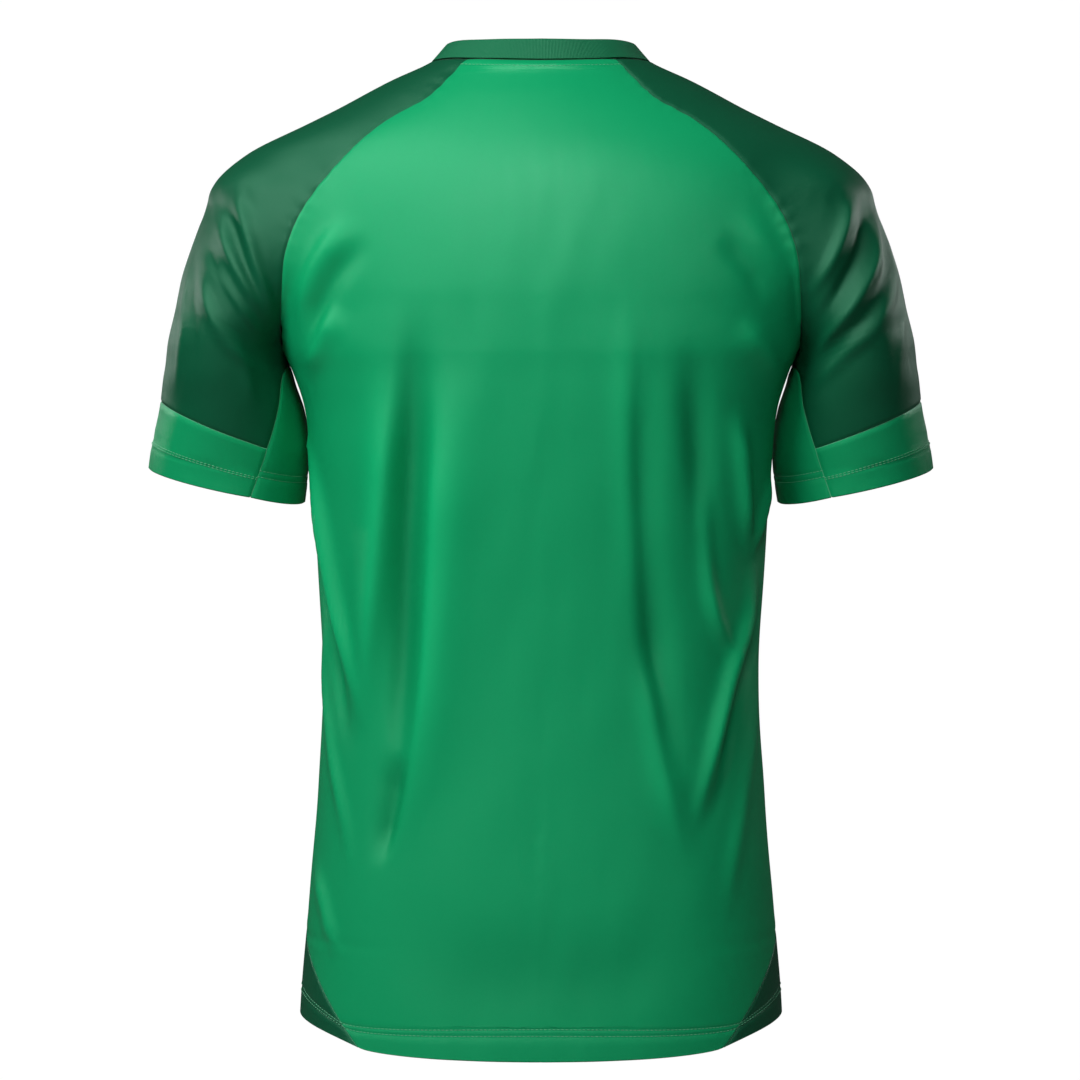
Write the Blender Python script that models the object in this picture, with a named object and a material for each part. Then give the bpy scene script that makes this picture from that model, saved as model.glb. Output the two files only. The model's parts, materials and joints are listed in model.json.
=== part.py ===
"""A short-sleeved football jersey, filled out as it is worn and empty inside.

+Z is up and the front faces -Y. The origin is the centre of the neck opening at
the height of the shoulders' neck points, where the wearer's shoulders hold it up.

One outer form gives every panel its shape: the body and the two sleeves are
stacks of level sections, blended where the sleeves leave the body. The seams are
curves on that form. Each panel is a wall whose rows run over the form between
its seams, and its inner skin lies one cloth thickness inside the outer one.
"""
from collections import namedtuple

import bmesh
import bpy
import numpy as np

MM = 0.001

# ---- driving sizes, in millimetres ------------------------------------------------

CLOTH = 1.4             # thickness of the knitted cloth with its seam allowances
SEAM_HALF_GAP = 0.22    # each panel stops this far short of its seam
COLLAR_HEIGHT = 16.5
COLLAR_THICKNESS = 2.4  # the collar is two layers of cloth
COLLAR_BACK_LEAN = 15   # degrees that the collar leans in over the neck at the back
COLLAR_LEAN = 43        # and at its sides and front
NECK_HALF_WIDTH = 83
NECK_SIDE_HEIGHT = 0.5
NECK_BACK_DROP = 6.5
NECK_FRONT_DROP = 72
NECK_BACK_DEPTH = 60
NECK_FRONT_DEPTH = 88
HEM_SIDE = -718         # height of the hem at the sides of the body
HEM_BACK_DROP = 21
HEM_FRONT_DROP = 15
HEM_CORNER_SHARE = 0.72  # the share of that drop reached where the side inserts end
UNDERARM = (190.5, -3, -227)
DIP_START = -450        # the rows start to dip below here, to follow the hem
NECK_DIP_START = -170   # and above here on the front, to follow the neck
FRONT_NECK_DIP = 27
INSERT_TOP = -654       # top of the triangle let into each side of the hem
INSERT_REACH = 90       # how far it runs round to the back and the front
INSERT_INSET = 0.26     # share of the half width by which its lower corners lie further in
BLEND = 26              # how softly body and sleeve meet over the shoulder
BLEND_LOW = 1.5         # and at the underarm
BLEND_RISE = 90         # the height over the underarm in which one becomes the other
BARE_RISE = 22          # below this height over the underarm each panel keeps to its own side

# Level sections of the body, lowest first: its half width, the y of its widest
# point, how far back and forward it reaches, and how square its corners are.
Section = namedtuple("Section", "height half_width middle back front squareness")
TORSO = [
    Section(-760, 184.0, 2, 124, -123, 2.3),
    Section(-720, 182.5, 2, 123, -122, 2.3),
    Section(-640, 176.5, 3, 118, -119, 2.3),
    Section(-552, 168.8, 4, 113, -115, 2.3),
    Section(-461, 164.8, 5, 110, -112, 2.3),
    Section(-400, 168.0, 6, 111, -114, 2.3),
    Section(-309, 174.0, 8, 117, -121, 2.3),
    Section(-263, 178.5, 9, 120, -124, 2.3),
    Section(-240, 185.8, 9, 121, -125, 2.3),
    Section(-222, 193.0, 10, 122, -125, 2.3),
    Section(-187, 205.0, 8, 122, -124, 2.2),
    Section(-157, 214.0, 4, 120, -120, 2.2),
    Section(-126, 218.0, 0, 116, -113, 2.2),
    Section(-96, 220.0, 0, 110, -103, 2.1),
    Section(-81, 218.0, 0, 105, -98, 2.05),
    Section(-65, 208.0, 0, 98, -91, 2.0),
    Section(-33, 149.5, 0, 80, -72, 2.0),
    Section(-15, 116.0, 0, 67, -60, 2.0),
    Section(0, 84.0, 0, 57, -52, 2.0),
    Section(20, 60.0, 0, 42, -44, 2.0),
]

# Level sections of the sleeve on the +X side, lowest first.
ArmSection = namedtuple("ArmSection", "height centre_x centre_y half_width half_depth")
ARM = [
    ArmSection(-345, 245.0, -28, 61.5, 60),
    ArmSection(-320, 241.5, -25, 61.2, 60),
    ArmSection(-293, 237.9, -21, 60.5, 63),
    ArmSection(-263, 236.2, -17, 55.2, 69),
    ArmSection(-240, 238.2, -14, 50.0, 74),
    ArmSection(-222, 238.3, -12, 47.0, 76),
    ArmSection(-187, 224.5, -8, 53.5, 79),
    ArmSection(-157, 212.5, -5, 58.7, 78),
    ArmSection(-126, 203.0, -2, 57.0, 73),
    ArmSection(-110, 199.0, -1, 54.5, 69),
]
SHOULDER_CAP = 40       # height of the dome that closes the sleeve's stack

# The armhole seam, from the collar down to the underarm, seen from the back and
# from the front: its distance from the middle, and its height.
SeamPoint = namedtuple("SeamPoint", "x z")
RAGLAN_BACK = [
    SeamPoint(85, -34.6), SeamPoint(118, -54), SeamPoint(149, -83),
    SeamPoint(178, -121), SeamPoint(189, -150), SeamPoint(192.5, -180),
]
RAGLAN_FRONT = [
    SeamPoint(75, -62), SeamPoint(101, -84), SeamPoint(127, -108),
    SeamPoint(150, -134), SeamPoint(168, -162), SeamPoint(180, -186),
]
MEETING_HEIGHTS = (-203, -214, -222)   # below, it follows the line where they meet
NECK_BACK_ANGLE = 48.5   # where the back armhole seam meets the collar, from the side
NECK_FRONT_ANGLE = -48

# The crest of the shoulder and sleeve, from the collar to the cuff band.
CrestPoint = namedtuple("CrestPoint", "x y z")
CREST = [
    CrestPoint(83, 0, 0.5), CrestPoint(118, 0, -15), CrestPoint(152, 0, -33),
    CrestPoint(187, 0, -50), CrestPoint(217, -1, -65), CrestPoint(238, -2, -81),
    CrestPoint(255.5, -3, -111), CrestPoint(266.5, -5, -141), CrestPoint(274, -8, -172),
    CrestPoint(282, -12, -217), CrestPoint(288, -17, -255),
]

# Slanted planes that cut the sleeve: the height at its axis, and the rise for
# each millimetre outwards (+X) and backwards (+Y).
Cut = namedtuple("Cut", "x y height rise_x rise_y")
SLEEVE_HEM = Cut(240, -25, -318.5, 0.22, -0.12)
CUFF_SEAM = Cut(240, -25, -273.7, 0.40, -0.112)
UNDER_SLEEVE_SPREAD = 66     # half the angle that the under-sleeve panel covers at the hem
CUFF_SEAM_SPREAD = 57.42     # and at the cuff seam
UNDER_SLEEVE_FLARE = 0.42    # how soon it widens below the underarm: 1 is evenly, 0 at once
TIP_SHARE = 0.08             # how narrow a panel that ends in a point is where it stops
TIP_DROP = 2                 # the under-sleeve panel stops this far below the underarm

# The largest folds: a path on the back (+1) or the front (-1) of the form, how
# far the cloth stands out along it, and the half width of the ridge or trough.
Fold = namedtuple("Fold", "side height width path")
FOLDS = [
    Fold(1, 7.0, 17, ((112, -270), (113, -350), (116, -430), (126, -490))),
    Fold(1, -7.0, 19, ((98, -300), (98, -380), (98, -460), (102, -560))),
    Fold(1, 7.5, 18, ((76, -370), (80, -440), (86, -510), (96, -570), (112, -610))),
    Fold(1, -6.0, 17, ((108, -520), (108, -570), (122, -620))),
    Fold(1, -7.0, 19, ((-68, -270), (-73, -340), (-80, -430), (-92, -510), (-102, -570))),
    Fold(1, 7.5, 17, ((-80, -450), (-86, -500), (-95, -550), (-104, -590))),
    Fold(1, -6.5, 17, ((-108, -270), (-113, -340), (-124, -400), (-130, -450))),
    Fold(1, 7.0, 17, ((-116, -330), (-121, -380), (-129, -420), (-136, -450))),
    Fold(1, 7.0, 17, ((-165, -300), (-150, -380), (-138, -450), (-118, -530))),
    Fold(-1, 7.0, 18, ((-105, -280), (-110, -370), (-118, -450), (-130, -540))),
    Fold(-1, -6.5, 20, ((-82, -290), (-86, -390), (-94, -500))),
    Fold(-1, 7.0, 18, ((96, -300), (102, -390), (112, -480), (128, -570))),
    Fold(-1, -6.5, 20, ((70, -280), (76, -370), (88, -470), (100, -560))),
    Fold(1, 4.5, 15, ((226, -105), (224, -150), (214, -182), (202, -205))),
    Fold(1, 4.0, 15, ((254, -120), (248, -165), (234, -203), (216, -232))),
    Fold(1, 5.0, 15, ((-226, -98), (-225, -145), (-216, -180), (-203, -205))),
    Fold(1, 4.5, 15, ((-256, -125), (-250, -168), (-236, -205), (-218, -232))),
    Fold(-1, 4.5, 15, ((220, -105), (219, -148), (210, -180), (199, -203))),
    Fold(-1, 4.5, 15, ((-224, -110), (-221, -152), (-211, -182), (-199, -203))),
]

# How many facets each seam and row is divided into.
RAGLAN_STEPS = 12
SIDE_STEPS = 11
INSERT_STEPS = 4
UNDER_STEPS = 4
CUFF_STEPS = 3
BACK_COLUMNS = 26
FRONT_COLUMNS = 20
SLEEVE_COLUMNS = 16
UNDER_COLUMNS = 7
INSERT_COLUMNS = 8
COLLAR_STEPS = 40
FOLD_STEPS = 12

SHARP_ANGLE = 0.9

# A curve is drawn this many times finer than it is divided.
FINE = 6
OUTSIDE = 160           # a depth, back or front, that lies outside the whole form
DEEPEST_MEETING = 75    # body and sleeve meet less deep than this at the underarm

Finish = namedtuple("Finish", "colour roughness")
FINISHES = {
    "green_knit": Finish((0.018, 0.320, 0.130, 1), 0.45),
    "dark_knit": Finish((0.008, 0.110, 0.050, 1), 0.50),
    "collar_knit": Finish((0.012, 0.150, 0.068, 1), 0.60),
}


# ---- the form ---------------------------------------------------------------------

def smooth_columns(table):
    """A smooth function from a table's first column to its other columns."""
    data = np.array(table, float)
    keys, values = data[:, 0], data[:, 1:]
    steps = np.diff(keys)[:, None]
    rises = np.diff(values, axis=0) / steps
    slopes = np.vstack([rises[:1], (rises[1:] + rises[:-1]) / 2, rises[-1:]])
    turns = rises[1:] * rises[:-1] <= 0
    slopes[1:-1][turns] *= 0.3

    def at(key):
        key = np.clip(np.atleast_1d(key), keys[0], keys[-1])
        i = np.clip(np.searchsorted(keys, key) - 1, 0, len(keys) - 2)
        h = (keys[i + 1] - keys[i])[:, None]
        t = ((key - keys[i]) / h[:, 0])[:, None]
        return ((2 * t**3 - 3 * t**2 + 1) * values[i] + (t**3 - 2 * t**2 + t) * h * slopes[i]
                + (3 * t**2 - 2 * t**3) * values[i + 1] + (t**3 - t**2) * h * slopes[i + 1])
    return at


torso_at = smooth_columns(TORSO)
arm_at = smooth_columns(ARM)


def ring_gap(offset, ratio):
    """Signed distance, along the ray from the middle, to a section at ratio 1."""
    ratio = np.maximum(ratio, 0.05)
    return offset * (1 - 1 / ratio)


def torso_gap(points):
    x, y, z = points.T
    half_width, middle, back, front, squareness = torso_at(z).T
    depth = np.where(y > middle, back - middle, middle - front)
    across, along = np.abs(x) / half_width, np.abs(y - middle) / depth
    ratio = (across**squareness + along**squareness)**(1 / squareness)
    return ring_gap(np.hypot(x, y - middle), ratio)


def arm_gap(points):
    x, y, z = points.T
    centre_x, centre_y, half_width, half_depth = arm_at(z).T
    above = np.maximum(z - ARM[-1].height, 0)
    out, back = np.abs(x) - centre_x, y - centre_y
    ratio = np.sqrt((out / half_width)**2 + (back / half_depth)**2 + (above / SHOULDER_CAP)**2)
    return ring_gap(np.sqrt(out**2 + back**2 + above**2), ratio)


def form_gap(points):
    """The body and the sleeves as one, blended more softly the higher they meet."""
    torso, arm = torso_gap(points), arm_gap(points)
    rise = np.clip((points[:, 2] - UNDERARM[2]) / BLEND_RISE, 0, 1)
    blend = BLEND_LOW + BLEND * rise * rise * (3 - 2 * rise)
    share = np.clip(0.5 + 0.5 * (arm - torso) / blend, 0, 1)
    return share * torso + (1 - share) * arm - blend * share * (1 - share)


def slope_of(gap, points):
    step = 0.2
    return np.stack([(gap(points + step * axis) - gap(points - step * axis)) / (2 * step)
                     for axis in np.eye(3)], axis=1)


def settle(points, gap):
    """Move points onto the form by its own slope."""
    points = np.array(points, float)
    for _ in range(12):
        slope = slope_of(gap, points)
        size = np.sum(slope * slope, axis=1, keepdims=True)
        points -= np.clip(gap(points)[:, None] / np.maximum(size, 0.05), -20, 20) * slope
    return points


def outward(points, gap):
    slope = slope_of(gap, points)
    return slope / np.linalg.norm(slope, axis=1, keepdims=True)


def even(points, count):
    """Divide a line of points into count equal lengths."""
    lengths = np.linalg.norm(np.diff(points, axis=0), axis=1)
    run = np.concatenate([[0], np.cumsum(lengths)])
    wanted = np.linspace(0, run[-1], count + 1)
    return np.stack([np.interp(wanted, run, column) for column in points.T], axis=1)


def curve(points, count):
    """An even, smooth line through guide points."""
    points = np.array(points, float)
    lengths = np.linalg.norm(np.diff(points, axis=0), axis=1)
    run = np.concatenate([[0], np.cumsum(lengths)])
    fine = smooth_columns(np.column_stack([run, points]))(np.linspace(0, run[-1], count * FINE + 1))
    return even(fine, count)


# ---- the folds --------------------------------------------------------------------

def fold_lines():
    """Each fold with its line on the form."""
    for fold in FOLDS:
        guides = [(x, OUTSIDE * fold.side, z) for x, z in fold.path]
        yield fold, settle_level(curve(guides, FOLD_STEPS))


def settle_level(points):
    """Move points to the form straight along Y, from outside it."""
    low, high = np.zeros(len(points)), points[:, 1].copy()
    for _ in range(30):
        middle = (low + high) / 2
        inside = form_gap(np.column_stack([points[:, 0], middle, points[:, 2]])) < 0
        low, high = np.where(inside, middle, low), np.where(inside, high, middle)
    return np.column_stack([points[:, 0], low, points[:, 2]])


def fold_height(points):
    """How far the folds lift each point, tapering towards both ends of each fold."""
    total = np.zeros(len(points))
    for fold, line in LINES:
        reach = np.linalg.norm(points[:, None, :] - line[None, :, :], axis=2)
        nearest = reach.argmin(axis=1)
        along = nearest / (len(line) - 1)
        taper = np.sin(np.pi * np.clip(along, 0.04, 0.96))**0.7
        total += fold.height * taper * np.exp(-(reach.min(axis=1) / fold.width)**2)
    return total


LINES = list(fold_lines())


# ---- the seams --------------------------------------------------------------------

def neck_point(angle):
    """A point of the collar's seam, by its angle round the neck from the +X side."""
    turn = np.radians(angle)
    side, depth = np.cos(turn), np.sin(turn)
    back, front = max(depth, 0), max(-depth, 0)
    guess = (NECK_HALF_WIDTH * side, NECK_BACK_DEPTH * back - NECK_FRONT_DEPTH * front,
             NECK_SIDE_HEIGHT - NECK_BACK_DROP * back**2 - NECK_FRONT_DROP * front**1.7)
    return settle([guess], form_gap)[0]


def neck_line(start, end, count):
    line = np.array([neck_point(angle) for angle in np.linspace(start, end, count * 2 + 1)])
    return even(line, count)


def meeting_point(height, side):
    """Where the body's section and the sleeve's cross, at one height."""
    y = side * np.linspace(0, DEEPEST_MEETING, 2 * DEEPEST_MEETING + 1)
    half_width, middle, back, front, squareness = torso_at(height)[0]
    centre_x, centre_y, arm_width, arm_depth = arm_at(height)[0]
    depth = np.where(y > middle, back - middle, middle - front)
    body_x = half_width * (1 - (np.abs(y - middle) / depth)**squareness)**(1 / squareness)
    arm_x = centre_x - arm_width * np.sqrt(1 - np.minimum(np.abs(y - centre_y) / arm_depth, 1)**2)
    i = np.argmax(body_x[1:] < arm_x[1:]) + 1
    return settle([(body_x[i], y[i], height)], form_gap)[0]


def raglan_seam(neck_angle, guides, side, count):
    """From the underarm up to the collar."""
    rough = [(point.x, OUTSIDE * side, point.z) for point in guides]
    line = settle_level(curve(rough, 4 * count))
    meeting = [meeting_point(height, side) for height in MEETING_HEIGHTS]
    whole = np.vstack([neck_point(neck_angle), line[1:], meeting, UNDERARM])
    return curve(whole[::-1], count)


def side_seam(count):
    """From the top of the side insert up to the underarm."""
    heights = np.linspace(INSERT_TOP, UNDERARM[2], count + 1)
    half_width, middle = torso_at(heights).T[:2]
    line = np.column_stack([half_width, middle, heights])
    line[-1] = UNDERARM
    return line


def insert_edge(side, drop, count):
    """From the hem up to the top of the side insert, on the back or the front."""
    down = np.linspace(1, 0, count + 1)
    half_width, middle = torso_at(INSERT_TOP + down * (HEM_SIDE - INSERT_TOP)).T[:2]
    rough = np.column_stack([half_width * (1 - INSERT_INSET * down**1.3),
                             middle + side * INSERT_REACH * down**0.6,
                             INSERT_TOP + down * (HEM_SIDE - drop * HEM_CORNER_SHARE - INSERT_TOP)])
    line = settle(rough, torso_gap)
    line[-1] = (torso_at(INSERT_TOP)[0, 0], torso_at(INSERT_TOP)[0, 1], INSERT_TOP)
    return line


def cut_height(cut, x, y):
    return cut.height + cut.rise_x * (x - cut.x) + cut.rise_y * (y - cut.y)


def sleeve_point(angle, height_of):
    """A point on the sleeve by its angle from the inner side, at a height that may
    depend on where it lies."""
    z = -300.0
    for _ in range(12):
        centre_x, centre_y, half_width, half_depth = arm_at(z)[0]
        x = centre_x - half_width * np.cos(np.radians(angle))
        y = centre_y + half_depth * np.sin(np.radians(angle))
        z = height_of(x, y)
    return np.array((x, y, z))


def under_edge(side):
    """The under-sleeve panel's edge from the underarm to the cuff seam, then on to
    the hem."""
    joint = sleeve_point(side * CUFF_SEAM_SPREAD, lambda x, y: cut_height(CUFF_SEAM, x, y))
    down = np.linspace(0, 1, UNDER_STEPS + 1)[1:-1]
    upper = [UNDERARM]
    for part in down:
        height = UNDERARM[2] + part * (joint[2] - UNDERARM[2])
        angle = side * CUFF_SEAM_SPREAD * part**UNDER_SLEEVE_FLARE
        upper.append(sleeve_point(angle, lambda x, y: height))
    upper.append(joint)
    lower = []
    for part in np.linspace(0, 1, CUFF_STEPS + 1):
        angle = side * (CUFF_SEAM_SPREAD + part * (UNDER_SLEEVE_SPREAD - CUFF_SEAM_SPREAD))
        lower.append(sleeve_point(angle, lambda x, y: (
            (1 - part) * cut_height(CUFF_SEAM, x, y) + part * cut_height(SLEEVE_HEM, x, y))))
    return np.array(upper, float), np.array(lower)


# ---- rows and panels --------------------------------------------------------------

def across(start, end, crown, count, gap, half_depth=0):
    """A row over the form from one seam point to another, by way of its crown. It
    starts as an arc of an ellipse, which bulges past its ends where half_depth is
    more than half the distance between them."""
    middle, half = (start + end) / 2, np.linalg.norm(start - end) / 2
    level = (start - end) / (2 * half) if half > 1 else np.array((0, 1, 0))
    half_depth = max(half, half_depth)
    past = np.arccos(half / half_depth)
    rise = (np.array(crown) - middle) / (1 + np.sin(past))
    turn = np.linspace(-past, np.pi + past, count * FINE + 1)[:, None]
    row = middle + rise * np.sin(past) + level * half_depth * np.cos(turn) + rise * np.sin(turn)
    row = settle(row, gap)
    row[0], row[-1] = start, end
    row = even(row, count)
    row[1:-1] = settle(row[1:-1], gap)
    return row


def mirrored(line):
    return line * (-1, 1, 1)


Panel = namedtuple("Panel", "points normals")


def as_panel(rows, gaps):
    normals = [outward(row, gap) for row, gap in zip(rows, gaps)]
    return Panel(np.array(rows), np.array(normals))


def body_panel(side, edge, columns):
    """The back (+1) or front (-1), from the hem up to the collar. edge runs up its
    +X side."""
    rows, gaps = [], []
    drop = HEM_BACK_DROP if side > 0 else HEM_FRONT_DROP
    for point in edge[:-1]:
        gap = form_gap if point[2] > UNDERARM[2] + BARE_RISE else torso_gap
        _, middle, back, front, _ = torso_at(point[2])[0]
        reach = back if side > 0 else front
        near_hem = np.clip((point[2] - DIP_START) / (HEM_SIDE - DIP_START), 0, 1)
        near_neck = np.clip((point[2] - NECK_DIP_START) / (edge[-1][2] - NECK_DIP_START), 0, 1)
        neck_dip = (1 - side) / 2 * FRONT_NECK_DIP * near_neck**1.5
        crown = (0, reach, point[2] - (1 - HEM_CORNER_SHARE) * drop * near_hem**2 - neck_dip)
        rows.append(across(point, mirrored(point), crown, columns, gap))
        gaps.append(gap)
    neck = (NECK_BACK_ANGLE, 180 - NECK_BACK_ANGLE) if side > 0 else (
        NECK_FRONT_ANGLE, -180 - NECK_FRONT_ANGLE)
    rows.append(neck_line(*neck, columns))
    gaps.append(form_gap)
    return as_panel(rows, gaps)


def sleeve_panel(back_edge, front_edge):
    """The sleeve from the collar down to the cuff band, over the shoulder."""
    count = len(back_edge) - 1
    crest = curve(CREST, count)
    rows = [neck_line(NECK_BACK_ANGLE, NECK_FRONT_ANGLE, SLEEVE_COLUMNS)]
    gaps = [form_gap]
    for i in range(1, count):
        gap = form_gap if back_edge[i][2] > UNDERARM[2] + BARE_RISE else arm_gap
        half_depth = arm_at(crest[i][2])[0, 3] if i > RAGLAN_STEPS / 2 else 0
        rows.append(across(back_edge[i], front_edge[i], crest[i], SLEEVE_COLUMNS, gap, half_depth))
        gaps.append(gap)
    rows.append(cut_row(CUFF_SEAM, CUFF_SEAM_SPREAD, SLEEVE_COLUMNS))
    gaps.append(arm_gap)
    return as_panel(rows, gaps)


def cut_row(cut, angle, count):
    """Round the outside of the sleeve where a slanted plane cuts it."""
    turns = np.linspace(angle, 360 - angle, count * 3 + 1)
    line = np.array([sleeve_point(turn, lambda x, y: cut_height(cut, x, y)) for turn in turns])
    return even(line, count)


def cuff_panel():
    rows = []
    for part in np.linspace(0, 1, CUFF_STEPS + 1):
        angle = CUFF_SEAM_SPREAD + part * (UNDER_SLEEVE_SPREAD - CUFF_SEAM_SPREAD)
        cut = Cut(*[(1 - part) * a + part * b for a, b in zip(CUFF_SEAM, SLEEVE_HEM)])
        rows.append(cut_row(cut, angle, SLEEVE_COLUMNS))
    return as_panel(rows, [arm_gap] * len(rows))


def under_panel(back_edge, front_edge):
    """From just below the underarm, where it is narrow, down to the sleeve's hem."""
    rows = []
    for back, front in zip(back_edge[1:], front_edge[1:]):
        height = (back[2] + front[2]) / 2
        centre_x, centre_y, half_width, _ = arm_at(height)[0]
        crown = (centre_x - half_width, centre_y, height - 0.1 * (UNDERARM[2] - height))
        rows.append(across(back, front, crown, UNDER_COLUMNS, arm_gap))
    tip = [back_edge[0] + (point - back_edge[0]) * TIP_SHARE for point in rows[0]]
    tip = settle(np.array(tip) - (0, 0, TIP_DROP), arm_gap)
    return as_panel([tip] + rows, [arm_gap] * (len(rows) + 1))


def insert_panel(back_edge, front_edge):
    rows = []
    for i, (back, front) in enumerate(zip(back_edge[:-1], front_edge[:-1])):
        down = 1 - i / INSERT_STEPS
        height = INSERT_TOP + down * (HEM_SIDE - INSERT_TOP)
        half_width, middle = torso_at(height)[0, :2]
        rows.append(across(back, front, (half_width, middle, height), INSERT_COLUMNS, torso_gap))
    top = [back_edge[-1] + (point - back_edge[-1]) * TIP_SHARE for point in rows[-1]]
    rows.append(settle(np.array(top), torso_gap))
    return as_panel(rows, [torso_gap] * len(rows))


def pull_in(line, inner, amount):
    step = inner - line
    return line + step / np.linalg.norm(step, axis=-1, keepdims=True) * amount


def trimmed(points):
    """Stop a panel short of the seams on all four sides."""
    out = points.copy()
    out[0], out[-1] = pull_in(out[0], out[1], SEAM_HALF_GAP), pull_in(out[-1], out[-2], SEAM_HALF_GAP)
    left = pull_in(out[:, 0], out[:, 1], SEAM_HALF_GAP)
    right = pull_in(out[:, -1], out[:, -2], SEAM_HALF_GAP)
    out[:, 0], out[:, -1] = left, right
    return out


# ---- solids -----------------------------------------------------------------------

def add_object(name, mesh, finish, parts):
    mesh.materials.append(finish)
    mesh.shade_smooth()
    mesh.set_sharp_from_angle(angle=SHARP_ANGLE)
    obj = bpy.data.objects.new(name, mesh)
    parts.objects.link(obj)
    return obj


def grid_faces(mesh, skin, flip):
    for row, next_row in zip(skin, skin[1:]):
        for a, b, c, d in zip(row, row[1:], next_row[1:], next_row):
            mesh.faces.new((a, b, c, d) if flip else (d, c, b, a))


def wall(name, panel, finish, parts, mirror=False):
    """Loft a panel's rows into an outer skin and an inner one, joined at its edges."""
    points = trimmed(panel.points)
    flat, normals = points.reshape(-1, 3), panel.normals.reshape(-1, 3)
    if mirror:
        flat, normals = mirrored(flat), mirrored(normals)
    flat = flat + normals * fold_height(flat)[:, None]
    shape = points.shape[:2]
    mesh = bmesh.new()
    skins = []
    for depth in (0, CLOTH):
        skin = [mesh.verts.new(point * MM) for point in flat - normals * depth]
        skins.append(np.array(skin, object).reshape(shape))
    outer, inner = skins
    grid_faces(mesh, outer, mirror)
    grid_faces(mesh, inner, not mirror)
    for edge, under in ((outer[0], inner[0]), (outer[:, -1], inner[:, -1]),
                        (outer[-1][::-1], inner[-1][::-1]), (outer[:, 0][::-1], inner[:, 0][::-1])):
        grid_faces(mesh, [edge, under], not mirror)
    bmesh.ops.recalc_face_normals(mesh, faces=mesh.faces)
    data = bpy.data.meshes.new(name)
    mesh.to_mesh(data)
    mesh.free()
    return add_object(name, data, finish, parts)


def collar(name, finish, parts):
    """A folded band standing on the neck seam and leaning in over the neck."""
    mesh = bmesh.new()
    rings = []
    for angle in np.linspace(0, 360, COLLAR_STEPS, endpoint=False):
        seam = neck_point(angle)
        depth = np.sin(np.radians(angle))
        upright = 1 - (1 - depth)**0.6 if depth > 0 else 0
        lean = np.radians(COLLAR_LEAN + (COLLAR_BACK_LEAN - COLLAR_LEAN) * upright)
        inward = -np.array((np.cos(np.radians(angle)), depth, 0))
        up = inward * np.sin(lean) + np.array((0, 0, np.cos(lean)))
        out = up[2] * -inward + np.array((0, 0, np.dot(up, inward)))
        half = COLLAR_THICKNESS / 2
        base = seam + up * (SEAM_HALF_GAP * 3) - out * half
        profile = [(half, 0), (half, COLLAR_HEIGHT - 2 * half), (half * 0.6, COLLAR_HEIGHT - half * 0.5),
                   (-half * 0.6, COLLAR_HEIGHT - half * 0.5), (-half, COLLAR_HEIGHT - 2 * half), (-half, 0)]
        rings.append([mesh.verts.new((base + out * off + up * rise) * MM) for off, rise in profile])
    for ring, following in zip(rings, rings[1:] + rings[:1]):
        for i in range(len(ring)):
            j = (i + 1) % len(ring)
            mesh.faces.new((ring[i], ring[j], following[j], following[i]))
    bmesh.ops.recalc_face_normals(mesh, faces=mesh.faces)
    data = bpy.data.meshes.new(name)
    mesh.to_mesh(data)
    mesh.free()
    return add_object(name, data, finish, parts)


def make_finishes():
    made = {}
    for name, finish in FINISHES.items():
        material = bpy.data.materials.new(name)
        material.use_nodes = True
        shader = material.node_tree.nodes["Principled BSDF"]
        shader.inputs["Base Color"].default_value = finish.colour
        shader.inputs["Roughness"].default_value = finish.roughness
        shader.inputs["Metallic"].default_value = 0
        made[name] = material
    return made


def main():
    for obj in list(bpy.data.objects):
        bpy.data.objects.remove(obj)
    parts = bpy.data.collections.new("football_jersey")
    bpy.context.scene.collection.children.link(parts)
    finishes = make_finishes()
    green, dark, rib = (finishes[name] for name in ("green_knit", "dark_knit", "collar_knit"))

    raglan = {side: raglan_seam(angle, guides, side, RAGLAN_STEPS)
              for side, angle, guides in ((1, NECK_BACK_ANGLE, RAGLAN_BACK),
                                          (-1, NECK_FRONT_ANGLE, RAGLAN_FRONT))}
    side_line = side_seam(SIDE_STEPS)
    insert = {1: insert_edge(1, HEM_BACK_DROP, INSERT_STEPS),
              -1: insert_edge(-1, HEM_FRONT_DROP, INSERT_STEPS)}
    under = {side: under_edge(side) for side in (1, -1)}

    for side, name, columns in ((1, "back_panel", BACK_COLUMNS), (-1, "front_panel", FRONT_COLUMNS)):
        edge = np.vstack([insert[side], side_line[1:], raglan[side][1:]])
        wall(name, body_panel(side, edge, columns), green, parts)

    sleeve_edges = [np.vstack([raglan[side][::-1], under[side][0][1:]]) for side in (1, -1)]
    under_edges = [np.vstack([under[side][0], under[side][1][1:]]) for side in (1, -1)]
    pieces = {
        "sleeve": (sleeve_panel(*sleeve_edges), dark),
        "cuff_band": (cuff_panel(), green),
        "under_sleeve": (under_panel(*under_edges), green),
        "side_insert": (insert_panel(insert[1], insert[-1]), dark),
    }
    for name, (panel, finish) in pieces.items():
        wall(name + "_left", panel, finish, parts)
        wall(name + "_right", panel, finish, parts, mirror=True)
    collar("collar", rib, parts)


main()
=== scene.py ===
"""A football jersey in two greens, filled out as it is worn and empty inside.

The file is laid out as an add-on: each operator makes one piece of the jersey or
one group of like pieces, or the studio round it, and main() runs them in order.
Sizes in the tables are in millimetres, +Z is up and the back faces +Y.
"""
import json
import math
from collections import namedtuple
from functools import lru_cache

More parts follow.
